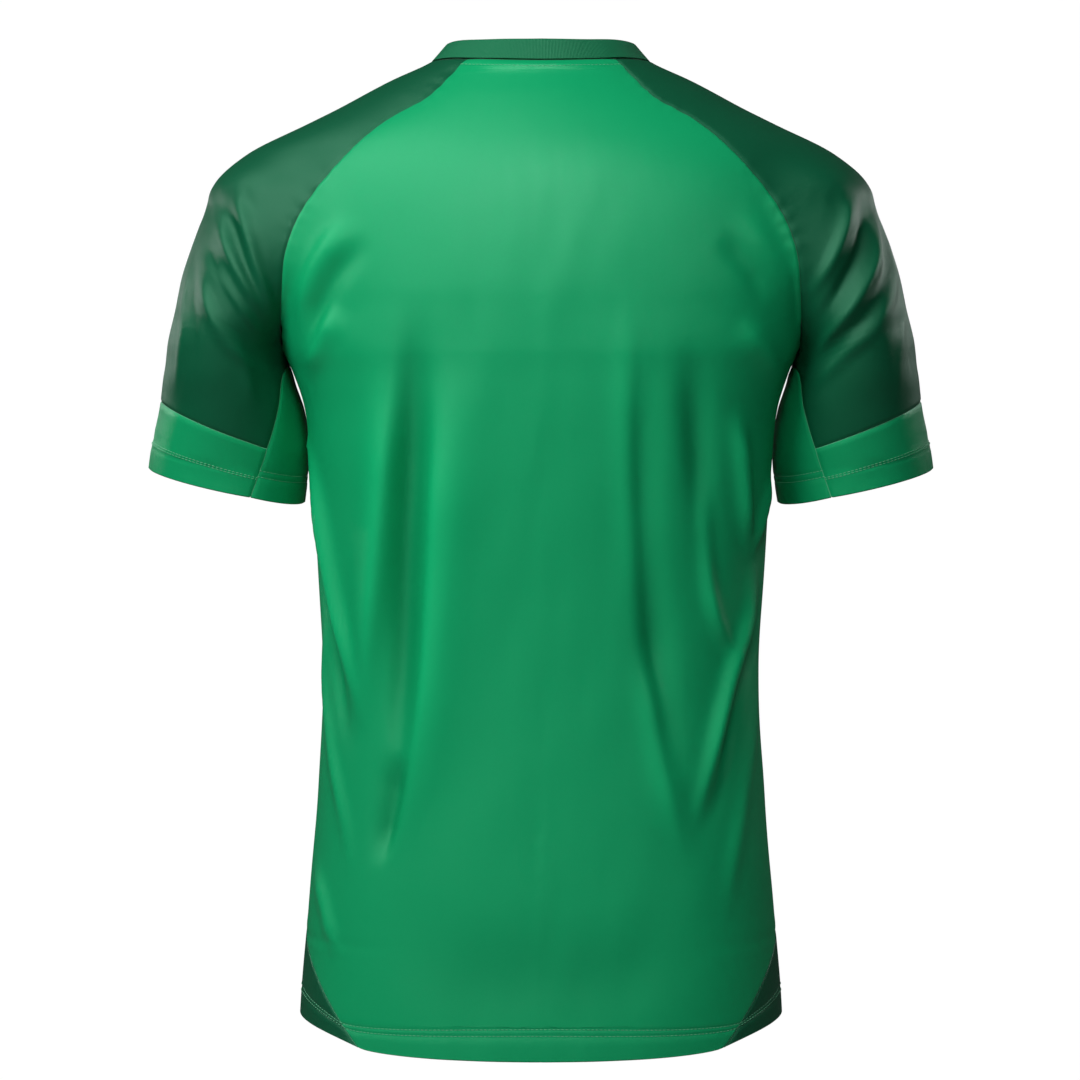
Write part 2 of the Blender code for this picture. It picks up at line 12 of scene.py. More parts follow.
import bmesh
import bpy
import numpy as np
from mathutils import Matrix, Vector

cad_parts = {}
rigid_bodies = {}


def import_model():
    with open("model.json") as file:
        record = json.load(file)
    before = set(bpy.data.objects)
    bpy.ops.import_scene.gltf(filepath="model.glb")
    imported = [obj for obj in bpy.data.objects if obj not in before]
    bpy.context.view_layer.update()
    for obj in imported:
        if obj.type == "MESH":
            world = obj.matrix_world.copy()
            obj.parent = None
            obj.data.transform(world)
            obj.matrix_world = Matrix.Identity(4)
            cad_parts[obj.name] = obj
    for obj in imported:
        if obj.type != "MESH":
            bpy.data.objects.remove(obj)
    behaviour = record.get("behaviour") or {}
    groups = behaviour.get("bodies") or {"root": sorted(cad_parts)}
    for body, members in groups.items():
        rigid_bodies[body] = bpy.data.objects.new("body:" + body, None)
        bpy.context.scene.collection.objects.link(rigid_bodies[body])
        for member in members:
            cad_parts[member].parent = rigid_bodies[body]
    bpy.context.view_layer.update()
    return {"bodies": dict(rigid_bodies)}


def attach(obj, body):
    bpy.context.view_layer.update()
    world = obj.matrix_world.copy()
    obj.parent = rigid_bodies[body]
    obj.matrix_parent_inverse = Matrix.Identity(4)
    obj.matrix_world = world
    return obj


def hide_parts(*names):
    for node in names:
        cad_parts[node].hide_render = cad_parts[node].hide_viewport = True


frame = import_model()

bl_info = {
    "name": "Football Jersey",
    "version": (1, 0, 0),
    "blender": (4, 5, 0),
    "location": "3D View > Sidebar > Jersey",
    "description": "Makes a raglan football jersey, worn shape and empty, with its seams and stitching",
    "category": "Add Mesh",
}

MM = 0.001
BODY = next(iter(frame["bodies"]))

# ---- the jersey's form, in millimetres ----------------------------------------------

NECK_HALF_WIDTH = 83
NECK_SIDE_HEIGHT = 0.5
NECK_BACK_DROP = 6.5
NECK_FRONT_DROP = 72
NECK_FRONT_CURVE = 1.7   # the more above 1, the later the front of the neck drops
NECK_BACK_DEPTH = 60
NECK_FRONT_DEPTH = 88
COLLAR_BACK_LEAN = 15    # degrees that the collar leans in over the neck at the back
COLLAR_LEAN = 43         # and at its sides and front
HEM_SIDE = -718
HEM_BACK_DROP = 21
HEM_FRONT_DROP = 15
HEM_CORNER_SHARE = 0.72  # the share of that drop reached where the side inserts end
UNDERARM = (190.5, -3, -227)
DIP_START = -450         # the rows dip below here, to follow the hem
NECK_DIP_START = -170    # and above here on the front, to follow the neck
FRONT_NECK_DIP = 27
NECK_DIP_CURVE = 1.5
INSERT_TOP = -654        # top of the triangle let into each side of the hem
INSERT_REACH = 90
INSERT_REACH_CURVE = 0.6
INSERT_INSET = 0.26
INSERT_INSET_CURVE = 1.3
BLEND = 26               # how softly body and sleeve meet over the shoulder
BLEND_LOW = 1.5          # and at the underarm
BLEND_RISE = 90
BARE_RISE = 22           # below this height over the underarm each panel keeps to its own side

# Level sections of the body: half width, y of the widest point, reach back and
# forward, and how square the corners are.
TORSO = (
    (-760, 184.0, 2, 124, -123, 2.3), (-720, 182.5, 2, 123, -122, 2.3), (-640, 176.5, 3, 118, -119, 2.3),
    (-552, 168.8, 4, 113, -115, 2.3), (-461, 164.8, 5, 110, -112, 2.3), (-400, 168.0, 6, 111, -114, 2.3),
    (-309, 174.0, 8, 117, -121, 2.3), (-263, 178.5, 9, 120, -124, 2.3), (-240, 185.8, 9, 121, -125, 2.3),
    (-222, 193.0, 10, 122, -125, 2.3), (-187, 205.0, 8, 122, -124, 2.2), (-157, 214.0, 4, 120, -120, 2.2),
    (-126, 218.0, 0, 116, -113, 2.2), (-96, 220.0, 0, 110, -103, 2.1), (-81, 218.0, 0, 105, -98, 2.05),
    (-65, 208.0, 0, 98, -91, 2.0), (-33, 149.5, 0, 80, -72, 2.0), (-15, 116.0, 0, 67, -60, 2.0),
    (0, 84.0, 0, 57, -52, 2.0), (20, 60.0, 0, 42, -44, 2.0),
)

# Level sections of the sleeve on the +X side: centre, half width and half depth.
ARM = (
    (-345, 245.0, -28, 61.5, 60), (-320, 241.5, -25, 61.2, 60), (-293, 237.9, -21, 60.5, 63),
    (-263, 236.2, -17, 55.2, 69), (-240, 238.2, -14, 50.0, 74), (-222, 238.3, -12, 47.0, 76),
    (-187, 224.5, -8, 53.5, 79), (-157, 212.5, -5, 58.7, 78), (-126, 203.0, -2, 57.0, 73),
    (-110, 199.0, -1, 54.5, 69),
)
ARM_TOP = -110
SHOULDER_CAP = 40

# The armhole seams, from the collar down: distance from the middle, and height.
RAGLAN = {
    1: ((85, -34.6), (118, -54), (149, -83), (178, -121), (189, -150), (192.5, -180)),
    -1: ((75, -62), (101, -84), (127, -108), (150, -134), (168, -162), (180, -186)),
}
NECK_ANGLE = {1: 48.5, -1: -48}         # where they meet the collar, from the side
MEETING_HEIGHTS = (-203, -214, -222)    # below, they follow the line where body and sleeve meet

# The crest of the shoulder and sleeve, from the collar to the cuff band.
CREST = (
    (83, 0, 0.5), (118, 0, -15), (152, 0, -33), (187, 0, -50), (217, -1, -65), (238, -2, -81),
    (255.5, -3, -111), (266.5, -5, -141), (274, -8, -172), (282, -12, -217), (288, -17, -255),
)

# Slanted planes that cut the sleeve: a point, the height there, and the rise for
# each millimetre outwards and backwards.
Cut = namedtuple("Cut", "x y height rise_x rise_y")
SLEEVE_HEM = Cut(240, -25, -318.5, 0.22, -0.12)
CUFF_SEAM = Cut(240, -25, -273.7, 0.40, -0.112)
UNDER_SLEEVE_SPREAD = 66
CUFF_SEAM_SPREAD = 57.42
UNDER_SLEEVE_FLARE = 0.42
UNDER_SLEEVE_DIP = 0.1   # how much its rows dip in the middle, as a share of the way down
TIP_SHARE = 0.08
TIP_DROP = 2
OUTSIDE = 160            # a depth, back or front, that lies outside the whole form
DEEPEST_MEETING = 75

# How many steps each seam and row is drawn in, and how many times finer the cloth
# is made from them.
RAGLAN_STEPS = 32
SIDE_STEPS = 40
INSERT_STEPS = 10
UNDER_STEPS = 8
CUFF_STEPS = 6
BACK_COLUMNS = 48
FRONT_COLUMNS = 44
SLEEVE_COLUMNS = 36
UNDER_COLUMNS = 10
INSERT_COLUMNS = 18
COLLAR_STEPS = 360
FINE = 3
FINER = 3

# ---- the folds ------------------------------------------------------------------------

# Each fold's path on the back (+1) or the front (-1), from its start, as distances
# from the middle and heights. The cloth stands out along it by its height, or in
# where that is negative. outer and inner are the half widths of its two flanks.
Fold = namedtuple("Fold", "side height outer inner path")
FOLDS = (
    # The left of the back: two long ridges with a trough between them.
    Fold(1, 6.2, 17, 8.1, ((105, -209), (111, -289), (118, -373), (127, -460), (133, -517))),
    Fold(1, -6.2, 8.1, 13, ((89, -177), (95, -260), (101, -377), (105, -479), (108, -556))),
    Fold(1, 7.0, 9, 22, ((69, -210), (74, -318), (77, -390), (84, -482), (97, -552), (116, -604))),
    Fold(1, -4.3, 9, 6.3, ((102, -515), (110, -563), (120, -604))),
    Fold(1, 4.9, 7.2, 7.2, ((180, -272), (168, -322), (161, -361), (152, -410), (143, -449), (130, -506))),
    Fold(1, -3.8, 7.2, 8.1, ((172, -345), (162, -407), (150, -473), (140, -524))),
    Fold(1, 2.2, 6.3, 5.4, ((161, -399), (162, -459), (156, -518), (143, -587), (141, -619))),
    Fold(1, 2.2, 7.2, 5.4, ((170, -601), (160, -634), (150, -673))),
    # The right of the back.
    Fold(1, 3.6, 22, 11, ((-68, -172), (-66, -250), (-67, -300), (-72, -377), (-80, -453))),
    Fold(1, -4.6, 12, 9, ((-76, -180), (-73, -286), (-76, -377), (-87, -468), (-100, -552), (-108, -585))),
    Fold(1, 3.2, 13, 9, ((-80, -430), (-84, -497), (-95, -555), (-110, -604))),
    Fold(1, -3.4, 10, 9, ((-108, -210), (-114, -286), (-122, -377), (-133, -432))),
    Fold(1, 3.7, 6.5, 6.5, ((-117, -300), (-121, -365), (-128, -417), (-142, -450), (-144, -466))),
    Fold(1, 3.6, 7, 7, ((-142, -262), (-148, -302), (-152, -348), (-156, -380))),
    Fold(1, 3.0, 6, 6, ((-174, -308), (-163, -350), (-155, -378))),
    Fold(1, 4.2, 7, 7, ((-158, -362), (-155, -417), (-144, -451), (-135, -486), (-124, -532), (-110, -580))),
    Fold(1, -3.2, 8, 9, ((-166, -390), (-158, -440), (-147, -480), (-135, -530), (-122, -580))),
    Fold(1, 1.8, 8, 8, ((-163, -442), (-160, -485), (-150, -555), (-142, -600), (-134, -650))),
    # Pulls across the shoulder blades, and the soft band over the hem.
    Fold(1, 2.9, 8.1, 10.8, ((132, -122), (152, -142), (170, -170), (181, -215))),
    Fold(1, -2.5, 8.1, 8.1, ((120, -140), (143, -158), (163, -190), (172, -232))),
    Fold(1, 2.7, 8.1, 9, ((143, -192), (160, -210), (174, -244))),
    Fold(1, 1.6, 9, 10.8, ((-138, -118), (-160, -138), (-177, -165), (-187, -205))),
    Fold(1, -1.4, 8.1, 8.1, ((-128, -138), (-150, -160), (-168, -190))),
    Fold(1, 1.8, 8.1, 9, ((-141, -204), (-162, -220), (-181, -250))),
    Fold(1, -1.8, 30, 30, ((130, -664), (60, -676), (0, -680), (-60, -676), (-130, -664))),
    # The turning under the collar, pushed up along its stitches.
    Fold(1, 1.2, 2.4, 2.4, ((64, -7), (40, -10), (0, -11), (-40, -10), (-64, -7))),
    # The left sleeve, running in to the underarm.
    Fold(1, 2.4, 5.6, 5.0, ((233, -96), (221, -124), (212, -157), (201, -188), (195, -212))),
    Fold(1, -2.0, 4.4, 4.4, ((240, -104), (227, -132), (215, -165), (203, -196))),
    Fold(1, 2.2, 4.4, 4.4, ((243, -118), (231, -149), (216, -177), (199, -204))),
    Fold(1, 2.0, 4.4, 3.7, ((249, -145), (237, -170), (219, -196), (202, -216))),
    Fold(1, -1.7, 3.7, 3.7, ((251, -135), (240, -165), (226, -190), (208, -213))),
    Fold(1, 2.2, 4.4, 4.4, ((254, -158), (246, -190), (229, -219), (205, -246))),
    Fold(1, 1.1, 5.0, 3.7, ((262, -146), (267, -180), (268, -209), (272, -238), (277, -262))),
    Fold(1, -0.8, 4.4, 4.4, ((258, -140), (259, -176), (258, -206), (262, -240))),
    Fold(1, 1.3, 5.0, 5.0, ((233, -207), (220, -237), (213, -268))),
    # The right sleeve, sharper: down from the shoulder, then in to the underarm.
    Fold(1, 2.7, 4.7, 4.7, ((-234, -96), (-224, -134), (-211, -163), (-196, -186))),
    Fold(1, -3.1, 5.5, 4.7, ((-241, -100), (-238, -142), (-222, -174), (-202, -206))),
    Fold(1, 2.5, 4.7, 4.7, ((-248, -104), (-251, -146), (-236, -180), (-212, -214), (-196, -244))),
    Fold(1, -1.5, 4.7, 4.7, ((-255, -114), (-258, -156), (-246, -188), (-218, -222), (-199, -250))),
    Fold(1, 1.3, 4.7, 4.7, ((-261, -124), (-265, -163), (-256, -192), (-226, -226), (-202, -256))),
    Fold(1, 0.8, 4.7, 4.7, ((-266, -140), (-271, -190), (-268, -240), (-270, -262))),
    Fold(1, 1.5, 4.7, 4.7, ((-238, -200), (-221, -226), (-202, -250))),
    # The front, in the same manner: loose from the chest down, drawn to the underarms.
    Fold(-1, 5.4, 16, 9, ((-92, -212), (-98, -290), (-106, -380), (-117, -468), (-128, -540))),
    Fold(-1, -5.2, 9, 13, ((-76, -190), (-80, -280), (-88, -390), (-96, -480), (-104, -560))),
    Fold(-1, 4.9, 9, 20, ((-56, -230), (-60, -330), (-66, -430), (-78, -520), (-94, -600))),
    Fold(-1, 4.9, 7.2, 7.2, ((-178, -282), (-166, -340), (-155, -402), (-143, -462), (-128, -520))),
    Fold(-1, -3.8, 7.2, 7.2, ((-172, -330), (-162, -392), (-151, -455), (-139, -520))),
    Fold(-1, 2.5, 6.3, 6.3, ((-162, -420), (-158, -490), (-151, -560), (-144, -625))),
    Fold(-1, 5.6, 15, 8.1, ((86, -222), (93, -310), (102, -400), (112, -480), (124, -560))),
    Fold(-1, -5.6, 9, 10.8, ((70, -196), (74, -290), (83, -390), (93, -480), (102, -548))),
    Fold(-1, 4.3, 10.8, 20, ((50, -240), (52, -340), (58, -440), (70, -540), (84, -596))),
    Fold(-1, 5.2, 7.2, 8.1, ((178, -290), (164, -352), (150, -420), (138, -480), (121, -548))),
    Fold(-1, -4.3, 7.2, 7.2, ((171, -340), (159, -405), (148, -465), (134, -535))),
    Fold(-1, 2.7, 6.3, 6.3, ((159, -440), (155, -510), (147, -578), (139, -640))),
    Fold(-1, 2.5, 26, 26, ((26, -96), (0, -100), (-26, -96))),
    Fold(-1, -2.0, 28, 28, ((44, -128), (0, -134), (-44, -128))),
    Fold(-1, 2.9, 8.1, 9.9, ((128, -150), (148, -170), (164, -198), (174, -236))),
    Fold(-1, 2.7, 8.1, 9.9, ((-124, -154), (-146, -174), (-162, -200), (-173, -240))),
    Fold(-1, -1.8, 30, 30, ((120, -668), (0, -680), (-120, -668))),
    Fold(-1, 2.2, 6.4, 6.4, ((226, -104), (219, -140), (208, -172), (195, -206))),
    Fold(-1, -1.9, 5.6, 5.6, ((236, -112), (226, -150), (212, -184), (198, -212))),
    Fold(-1, 2.0, 5.6, 5.6, ((246, -126), (236, -162), (220, -194), (203, -222))),
    Fold(-1, 1.6, 5.6, 5.6, ((256, -150), (250, -188), (236, -222), (214, -250))),
    Fold(-1, 1.5, 5.6, 5.6, ((264, -160), (266, -205), (270, -250))),
    Fold(-1, 2.4, 6.4, 6.4, ((-228, -106), (-220, -142), (-209, -174), (-196, -207))),
    Fold(-1, -2.0, 5.6, 5.6, ((-238, -116), (-227, -152), (-213, -186), (-199, -213))),
    Fold(-1, 2.1, 5.6, 5.6, ((-248, -130), (-238, -166), (-222, -198), (-205, -226))),
    Fold(-1, 1.8, 5.6, 5.6, ((-258, -154), (-251, -192), (-237, -226), (-216, -254))),
    Fold(-1, 1.4, 5.6, 5.6, ((-266, -165), (-267, -210), (-271, -252))),
)
FOLD_SPACING = 2.0       # millimetres between the points of a fold's line
FOLD_REACH = 3.2         # how many half widths from its line a fold is felt
FOLD_START_WIDTH = 1.35  # how much wider a fold is where it starts
FOLD_NARROWING = 0.5     # and how much of that is gone where it ends
FOLD_RISE = 0.35         # the share of its length over which it rises
FOLD_FADE = 0.38         # and over which it dies away

# Shallow waves all over the cloth: wavelength across and up, share and phase.
WAVES = (
    (61, 190, 1.0, 0.4), (37, 240, 0.7, 2.1), (97, 83, 0.8, 4.0), (29, 130, 0.35, 5.2), (53, -160, 0.6, 1.3),
)

WAVE_DEPTH_SHARE = 0.9   # how much a step back or forward counts beside one sideways
WAVE_START = 30          # how far below the neck the waves begin
WAVE_RISE = 160          # and how much further down they are full

# The gathers along the armhole seams.
GATHER_STEPS = 170
GATHER_REACH = 8.0
GATHER_LIMIT = 2.4       # how many times that far a gather is felt
GATHER_SPACING_LEFT = 13.0
GATHER_SPACING_RIGHT = 14.2
GATHER_WANDER = 1.7      # how much their spacing wanders, in radians, and over what length
GATHER_WANDER_RUN = 11.0
GATHER_MEAN = 0.55       # their usual height, how much it swings, and over what length
GATHER_SWING = 0.45
GATHER_SWING_RUN = 23.0


# ---- settings -------------------------------------------------------------------------

def length(name, description, default):
    return bpy.props.FloatProperty(name=name, description=description, default=default, min=0,
                                   subtype="DISTANCE", unit="LENGTH", precision=5)


def share(name, description, default, high=3.0):
    return bpy.props.FloatProperty(name=name, description=description, default=default, min=0, max=high)


def colour(name, description, default):
    return bpy.props.FloatVectorProperty(name=name, description=description, default=default, size=3,
                                         min=0, max=1, subtype="COLOR")


class JerseySizes(bpy.types.PropertyGroup):
    cloth: length("Cloth", "Thickness of the knitted cloth", 0.0009)
    rib: length("Rib", "Thickness of each of the collar's two layers", 0.0009)
    collar_height: length("Collar height", "From the neck seam to the collar's folded edge", 0.0165)
    hem_depth: length("Hem depth", "From the hem's edge to its upper stitch line", 0.023)
    cuff_hem_depth: length("Cuff hem depth", "From the sleeve's edge to its upper stitch line", 0.021)
    needle_gap: length("Needle gap", "Between the two stitch lines of a hem", 0.0048)
    stitch: length("Stitch", "Length of one stitch", 0.0031)
    thread: length("Thread", "Thickness of the sewing thread", 0.00058)
    seam_cord: length("Seam cord", "Thickness of the overlocked edges inside a seam", 0.0018)
    wale: length("Wale", "Width of one column of knitted loops", 0.0007)
    course: length("Course", "Height of one row of knitted loops", 0.0006)


class JerseyDrape(bpy.types.PropertyGroup):
    folds: share("Folds", "How deep the main folds are: 1 is as cut", 1.6)
    waves: length("Waves", "Depth of the shallow waves all over the cloth", 0.00014)
    pucker: length("Pucker", "Height of the small gathers along the armhole seams", 0.00045)
    seam_dip: length("Seam dip", "How far the cloth sinks in at a seam", 0.0008)
    stitch_dip: length("Stitch dip", "How far a stitch line draws the cloth in", 0.00055)


class JerseyColours(bpy.types.PropertyGroup):
    green: colour("Green", "Body, cuff bands and under-sleeves", (0.003, 0.365, 0.132))
    dark: colour("Dark green", "Sleeves and side inserts", (0.001, 0.094, 0.039))
    rib: colour("Collar", "Collar rib", (0.003, 0.150, 0.060))
    light_thread: colour("Light thread", "Seams of the cuffs and inserts, and the hems",
                         (0.110, 0.520, 0.270))
    dark_thread: colour("Dark thread", "Armhole and collar seams", (0.002, 0.045, 0.018))
    floor: colour("Floor", "Floor and backdrop", (0.30, 0.30, 0.30))


class JerseyStudio(bpy.types.PropertyGroup):
    key: share("Key", "Power of the large soft light, in watts", 47, 500)
    fill: share("Fill", "Power of the light from the other side, in watts", 12, 500)
    rim: share("Rim", "Power of the lights behind the sleeves, in watts", 7, 500)
    sky: share("Sky", "Strength of the even light from all round", 0.05)


# ---- the form -------------------------------------------------------------------------

TURN_SHARE = 0.3         # the share of its slope that a curve keeps where it turns back
LEAST_RATIO = 0.05
LEAST_SLOPE = 0.05
FURTHEST_STEP = 20       # the most that a point moves at once while it settles


def smooth_columns(table):
    """A smooth function from a table's first column to its other columns."""
    data = np.array(table, float)
    keys, values = data[:, 0], data[:, 1:]
    steps = np.diff(keys)[:, None]
    rises = np.diff(values, axis=0) / steps
    slopes = np.vstack([rises[:1], (rises[1:] + rises[:-1]) / 2, rises[-1:]])
    turns = rises[1:] * rises[:-1] <= 0
    slopes[1:-1][turns] *= TURN_SHARE

    def at(key):
        key = np.clip(np.atleast_1d(key), keys[0], keys[-1])
        i = np.clip(np.searchsorted(keys, key) - 1, 0, len(keys) - 2)
        h = (keys[i + 1] - keys[i])[:, None]
        t = ((key - keys[i]) / h[:, 0])[:, None]
        return ((2 * t**3 - 3 * t**2 + 1) * values[i] + (t**3 - 2 * t**2 + t) * h * slopes[i]
                + (3 * t**2 - 2 * t**3) * values[i + 1] + (t**3 - t**2) * h * slopes[i + 1])
    return at


torso_at = smooth_columns(TORSO)
arm_at = smooth_columns(ARM)


def ring_gap(offset, ratio):
    """Signed distance, along the ray from the middle, to a section at ratio 1."""
    return offset * (1 - 1 / np.maximum(ratio, LEAST_RATIO))


def torso_gap(points):
    x, y, z = points.T
    half_width, middle, back, front, squareness = torso_at(z).T
    depth = np.where(y > middle, back - middle, middle - front)
    ratio = ((np.abs(x) / half_width)**squareness + (np.abs(y - middle) / depth)**squareness)
    return ring_gap(np.hypot(x, y - middle), ratio**(1 / squareness))


def arm_gap(points):
    x, y, z = points.T
    centre_x, centre_y, half_width, half_depth = arm_at(z).T
    above = np.maximum(z - ARM_TOP, 0)
    out, back = np.abs(x) - centre_x, y - centre_y
    ratio = np.sqrt((out / half_width)**2 + (back / half_depth)**2 + (above / SHOULDER_CAP)**2)
    return ring_gap(np.sqrt(out**2 + back**2 + above**2), ratio)


def form_gap(points):
    """The body and the sleeves as one, blended more softly the higher they meet."""
    torso, arm = torso_gap(points), arm_gap(points)
    rise = np.clip((points[:, 2] - UNDERARM[2]) / BLEND_RISE, 0, 1)
    blend = BLEND_LOW + BLEND * rise * rise * (3 - 2 * rise)
    part = np.clip(0.5 + 0.5 * (arm - torso) / blend, 0, 1)
    return part * torso + (1 - part) * arm - blend * part * (1 - part)


def slope_of(gap, points):
    step = 0.2
    return np.stack([(gap(points + step * axis) - gap(points - step * axis)) / (2 * step)
                     for axis in np.eye(3)], axis=1)


def settle(points, gap, rounds=12):
    """Move points onto the form by its own slope."""
    points = np.array(points, float)
    for _ in range(rounds):
        slope = slope_of(gap, points)
        size = np.sum(slope * slope, axis=1, keepdims=True)
        step = gap(points)[:, None] / np.maximum(size, LEAST_SLOPE)
        points -= np.clip(step, -FURTHEST_STEP, FURTHEST_STEP) * slope
    return points


def unit(vectors):
    return vectors / np.maximum(np.linalg.norm(vectors, axis=-1, keepdims=True), 1e-9)


def outward(points, gap):
    return unit(slope_of(gap, points))


def runs(points):
    """The distance along a line of points to each of them."""
    return np.concatenate([[0], np.cumsum(np.linalg.norm(np.diff(points, axis=0), axis=1))])


def at_distances(data, run, wanted):
    """What the points of a line carry, read at the wanted distances along it."""
    return np.stack([np.interp(wanted, run, column) for column in data.T], axis=1)


def even(points, count):
    """Divide a line of points into count equal lengths."""
    run = runs(points)
    return at_distances(points, run, np.linspace(0, run[-1], count + 1))


def curve(points, count):
    """An even, smooth line through guide points."""
    points = np.array(points, float)
    run = runs(points)
    fine = smooth_columns(np.column_stack([run, points]))(np.linspace(0, run[-1], count * FINE + 1))
    return even(fine, count)


def settle_level(points):
    """Move points to the form straight along Y, from outside it."""
    low, high = np.zeros(len(points)), points[:, 1].copy()
    for _ in range(30):
        middle = (low + high) / 2
        inside = form_gap(np.column_stack([points[:, 0], middle, points[:, 2]])) < 0
        low, high = np.where(inside, middle, low), np.where(inside, high, middle)
    return np.column_stack([points[:, 0], low, points[:, 2]])


def mirrored(line):
    return line * (-1, 1, 1)


# ---- the seams ------------------------------------------------------------------------

def neck_points(angles):
    """Points of the collar's seam, by their angles round the neck from the +X side."""
    turn = np.radians(angles)
    side, depth = np.cos(turn), np.sin(turn)
    back, front = np.maximum(depth, 0), np.maximum(-depth, 0)
    guess = np.column_stack([
        NECK_HALF_WIDTH * side, NECK_BACK_DEPTH * back - NECK_FRONT_DEPTH * front,
        NECK_SIDE_HEIGHT - NECK_BACK_DROP * back**2 - NECK_FRONT_DROP * front**NECK_FRONT_CURVE])
    return settle(guess, form_gap)


def neck_line(start, end, count):
    return even(neck_points(np.linspace(start, end, count * 4 + 1)), count)


def meeting_point(height, side):
    """Where the body's section and the sleeve's cross, at one height."""
    y = side * np.linspace(0, DEEPEST_MEETING, 2 * DEEPEST_MEETING + 1)
    half_width, middle, back, front, squareness = torso_at(height)[0]
    centre_x, centre_y, arm_width, arm_depth = arm_at(height)[0]
    depth = np.where(y > middle, back - middle, middle - front)
    body_x = half_width * (1 - (np.abs(y - middle) / depth)**squareness)**(1 / squareness)
    arm_x = centre_x - arm_width * np.sqrt(1 - np.minimum(np.abs(y - centre_y) / arm_depth, 1)**2)
    i = np.argmax(body_x[1:] < arm_x[1:]) + 1
    return settle([(body_x[i], y[i], height)], form_gap)[0]


@lru_cache(None)
def raglan_seam(side):
    """The armhole seam, from the underarm up to the collar."""
    rough = np.array([(x, OUTSIDE * side, z) for x, z in RAGLAN[side]], float)
    line = settle_level(curve(rough, 4 * RAGLAN_STEPS))
    meeting = [meeting_point(height, side) for height in MEETING_HEIGHTS]
    whole = np.vstack([neck_points([NECK_ANGLE[side]]), line[1:], meeting, [UNDERARM]])
    return curve(whole[::-1], RAGLAN_STEPS)


@lru_cache(None)
def side_seam():
    """From the top of the side insert up to the underarm."""
    heights = np.linspace(INSERT_TOP, UNDERARM[2], SIDE_STEPS + 1)
    half_width, middle = torso_at(heights).T[:2]
    line = np.column_stack([half_width, middle, heights])
    line[-1] = UNDERARM
    return line


@lru_cache(None)
def insert_edge(side):
    """From the hem up to the top of the side insert, on the back or the front."""
    drop = HEM_BACK_DROP if side > 0 else HEM_FRONT_DROP
    down = np.linspace(1, 0, INSERT_STEPS + 1)
    half_width, middle = torso_at(INSERT_TOP + down * (HEM_SIDE - INSERT_TOP)).T[:2]
    rough = np.column_stack([half_width * (1 - INSERT_INSET * down**INSERT_INSET_CURVE),
                             middle + side * INSERT_REACH * down**INSERT_REACH_CURVE,
                             INSERT_TOP + down * (HEM_SIDE - drop * HEM_CORNER_SHARE - INSERT_TOP)])
    line = settle(rough, torso_gap)
    line[-1] = side_seam()[0]
    return line


def cut_height(cut, x, y):
    return cut.height + cut.rise_x * (x - cut.x) + cut.rise_y * (y - cut.y)


def sleeve_point(angle, height_of):
    """A point on the sleeve by its angle from the inner side, at a height that may
    depend on where it lies."""
    z = -300.0
    for _ in range(12):
        centre_x, centre_y, half_width, half_depth = arm_at(z)[0]
        x = centre_x - half_width * np.cos(np.radians(angle))
        y = centre_y + half_depth * np.sin(np.radians(angle))
        z = height_of(x, y)
    return np.array((x, y, z))


@lru_cache(None)
def under_edge(side):
    """The under-sleeve panel's edge, from the underarm to the cuff seam, then on to
    the sleeve's hem."""
    joint = sleeve_point(side * CUFF_SEAM_SPREAD, lambda x, y: cut_height(CUFF_SEAM, x, y))
    upper = [np.array(UNDERARM, float)]
    for part in np.linspace(0, 1, UNDER_STEPS + 1)[1:-1]:
        height = UNDERARM[2] + part * (joint[2] - UNDERARM[2])
        angle = side * CUFF_SEAM_SPREAD * part**UNDER_SLEEVE_FLARE
        upper.append(sleeve_point(angle, lambda x, y: height))
    upper.append(joint)
    lower = []
    for part in np.linspace(0, 1, CUFF_STEPS + 1):
        angle = side * (CUFF_SEAM_SPREAD + part * (UNDER_SLEEVE_SPREAD - CUFF_SEAM_SPREAD))
        lower.append(sleeve_point(angle, lambda x, y: (
            (1 - part) * cut_height(CUFF_SEAM, x, y) + part * cut_height(SLEEVE_HEM, x, y))))
    return np.array(upper), np.array(lower)


# ---- rows and panels ------------------------------------------------------------------

# A panel's grid has three numbers for each point's place and three for the
# direction out of the cloth. Its first index counts rows and its second columns.

def across(start, end, crown, count, gap, half_depth=0):
    """A row over the form from one seam point to another, by way of its crown. It
    starts as an arc of an ellipse, which bulges past its ends where half_depth is
    more than half the distance between them."""
    middle, half = (start + end) / 2, np.linalg.norm(start - end) / 2
    level = (start - end) / (2 * half) if half > 1 else np.array((0, 1, 0))
    half_depth = max(half, half_depth)
    past = np.arccos(half / half_depth)
    rise = (np.array(crown) - middle) / (1 + np.sin(past))
    turn = np.linspace(-past, np.pi + past, count * FINE + 1)[:, None]
    row = middle + rise * np.sin(past) + level * half_depth * np.cos(turn) + rise * np.sin(turn)
    row = settle(row, gap, 8)
    row[0], row[-1] = start, end
    row = even(row, count)
    row[1:-1] = settle(row[1:-1], gap, 4)
    return row


def as_grid(rows, gaps):
    normals = [outward(row, gap) for row, gap in zip(rows, gaps)]
    return refined(np.concatenate([np.array(rows), np.array(normals)], axis=2))


def refined(grid):
    """Divide a grid more finely in both directions, by smooth curves through it."""
    for _ in range(2):
        ends = 2 * grid[0] - grid[1], 2 * grid[-1] - grid[-2]
        padded = np.concatenate([ends[0][None], grid, ends[1][None]])
        a, b, c, d = padded[:-3], padded[1:-2], padded[2:-1], padded[3:]
        lines = []
        for t in np.arange(FINER) / FINER:
            lines.append(b + 0.5 * t * (c - a + t * (2 * a - 5 * b + 4 * c - d + t * (3 * (b - c) + d - a))))
        fine = np.stack(lines, axis=1).reshape(-1, *grid.shape[1:])
        grid = np.concatenate([fine, grid[-1:]]).transpose(1, 0, 2)
    grid[..., 3:] = unit(grid[..., 3:])
    return grid


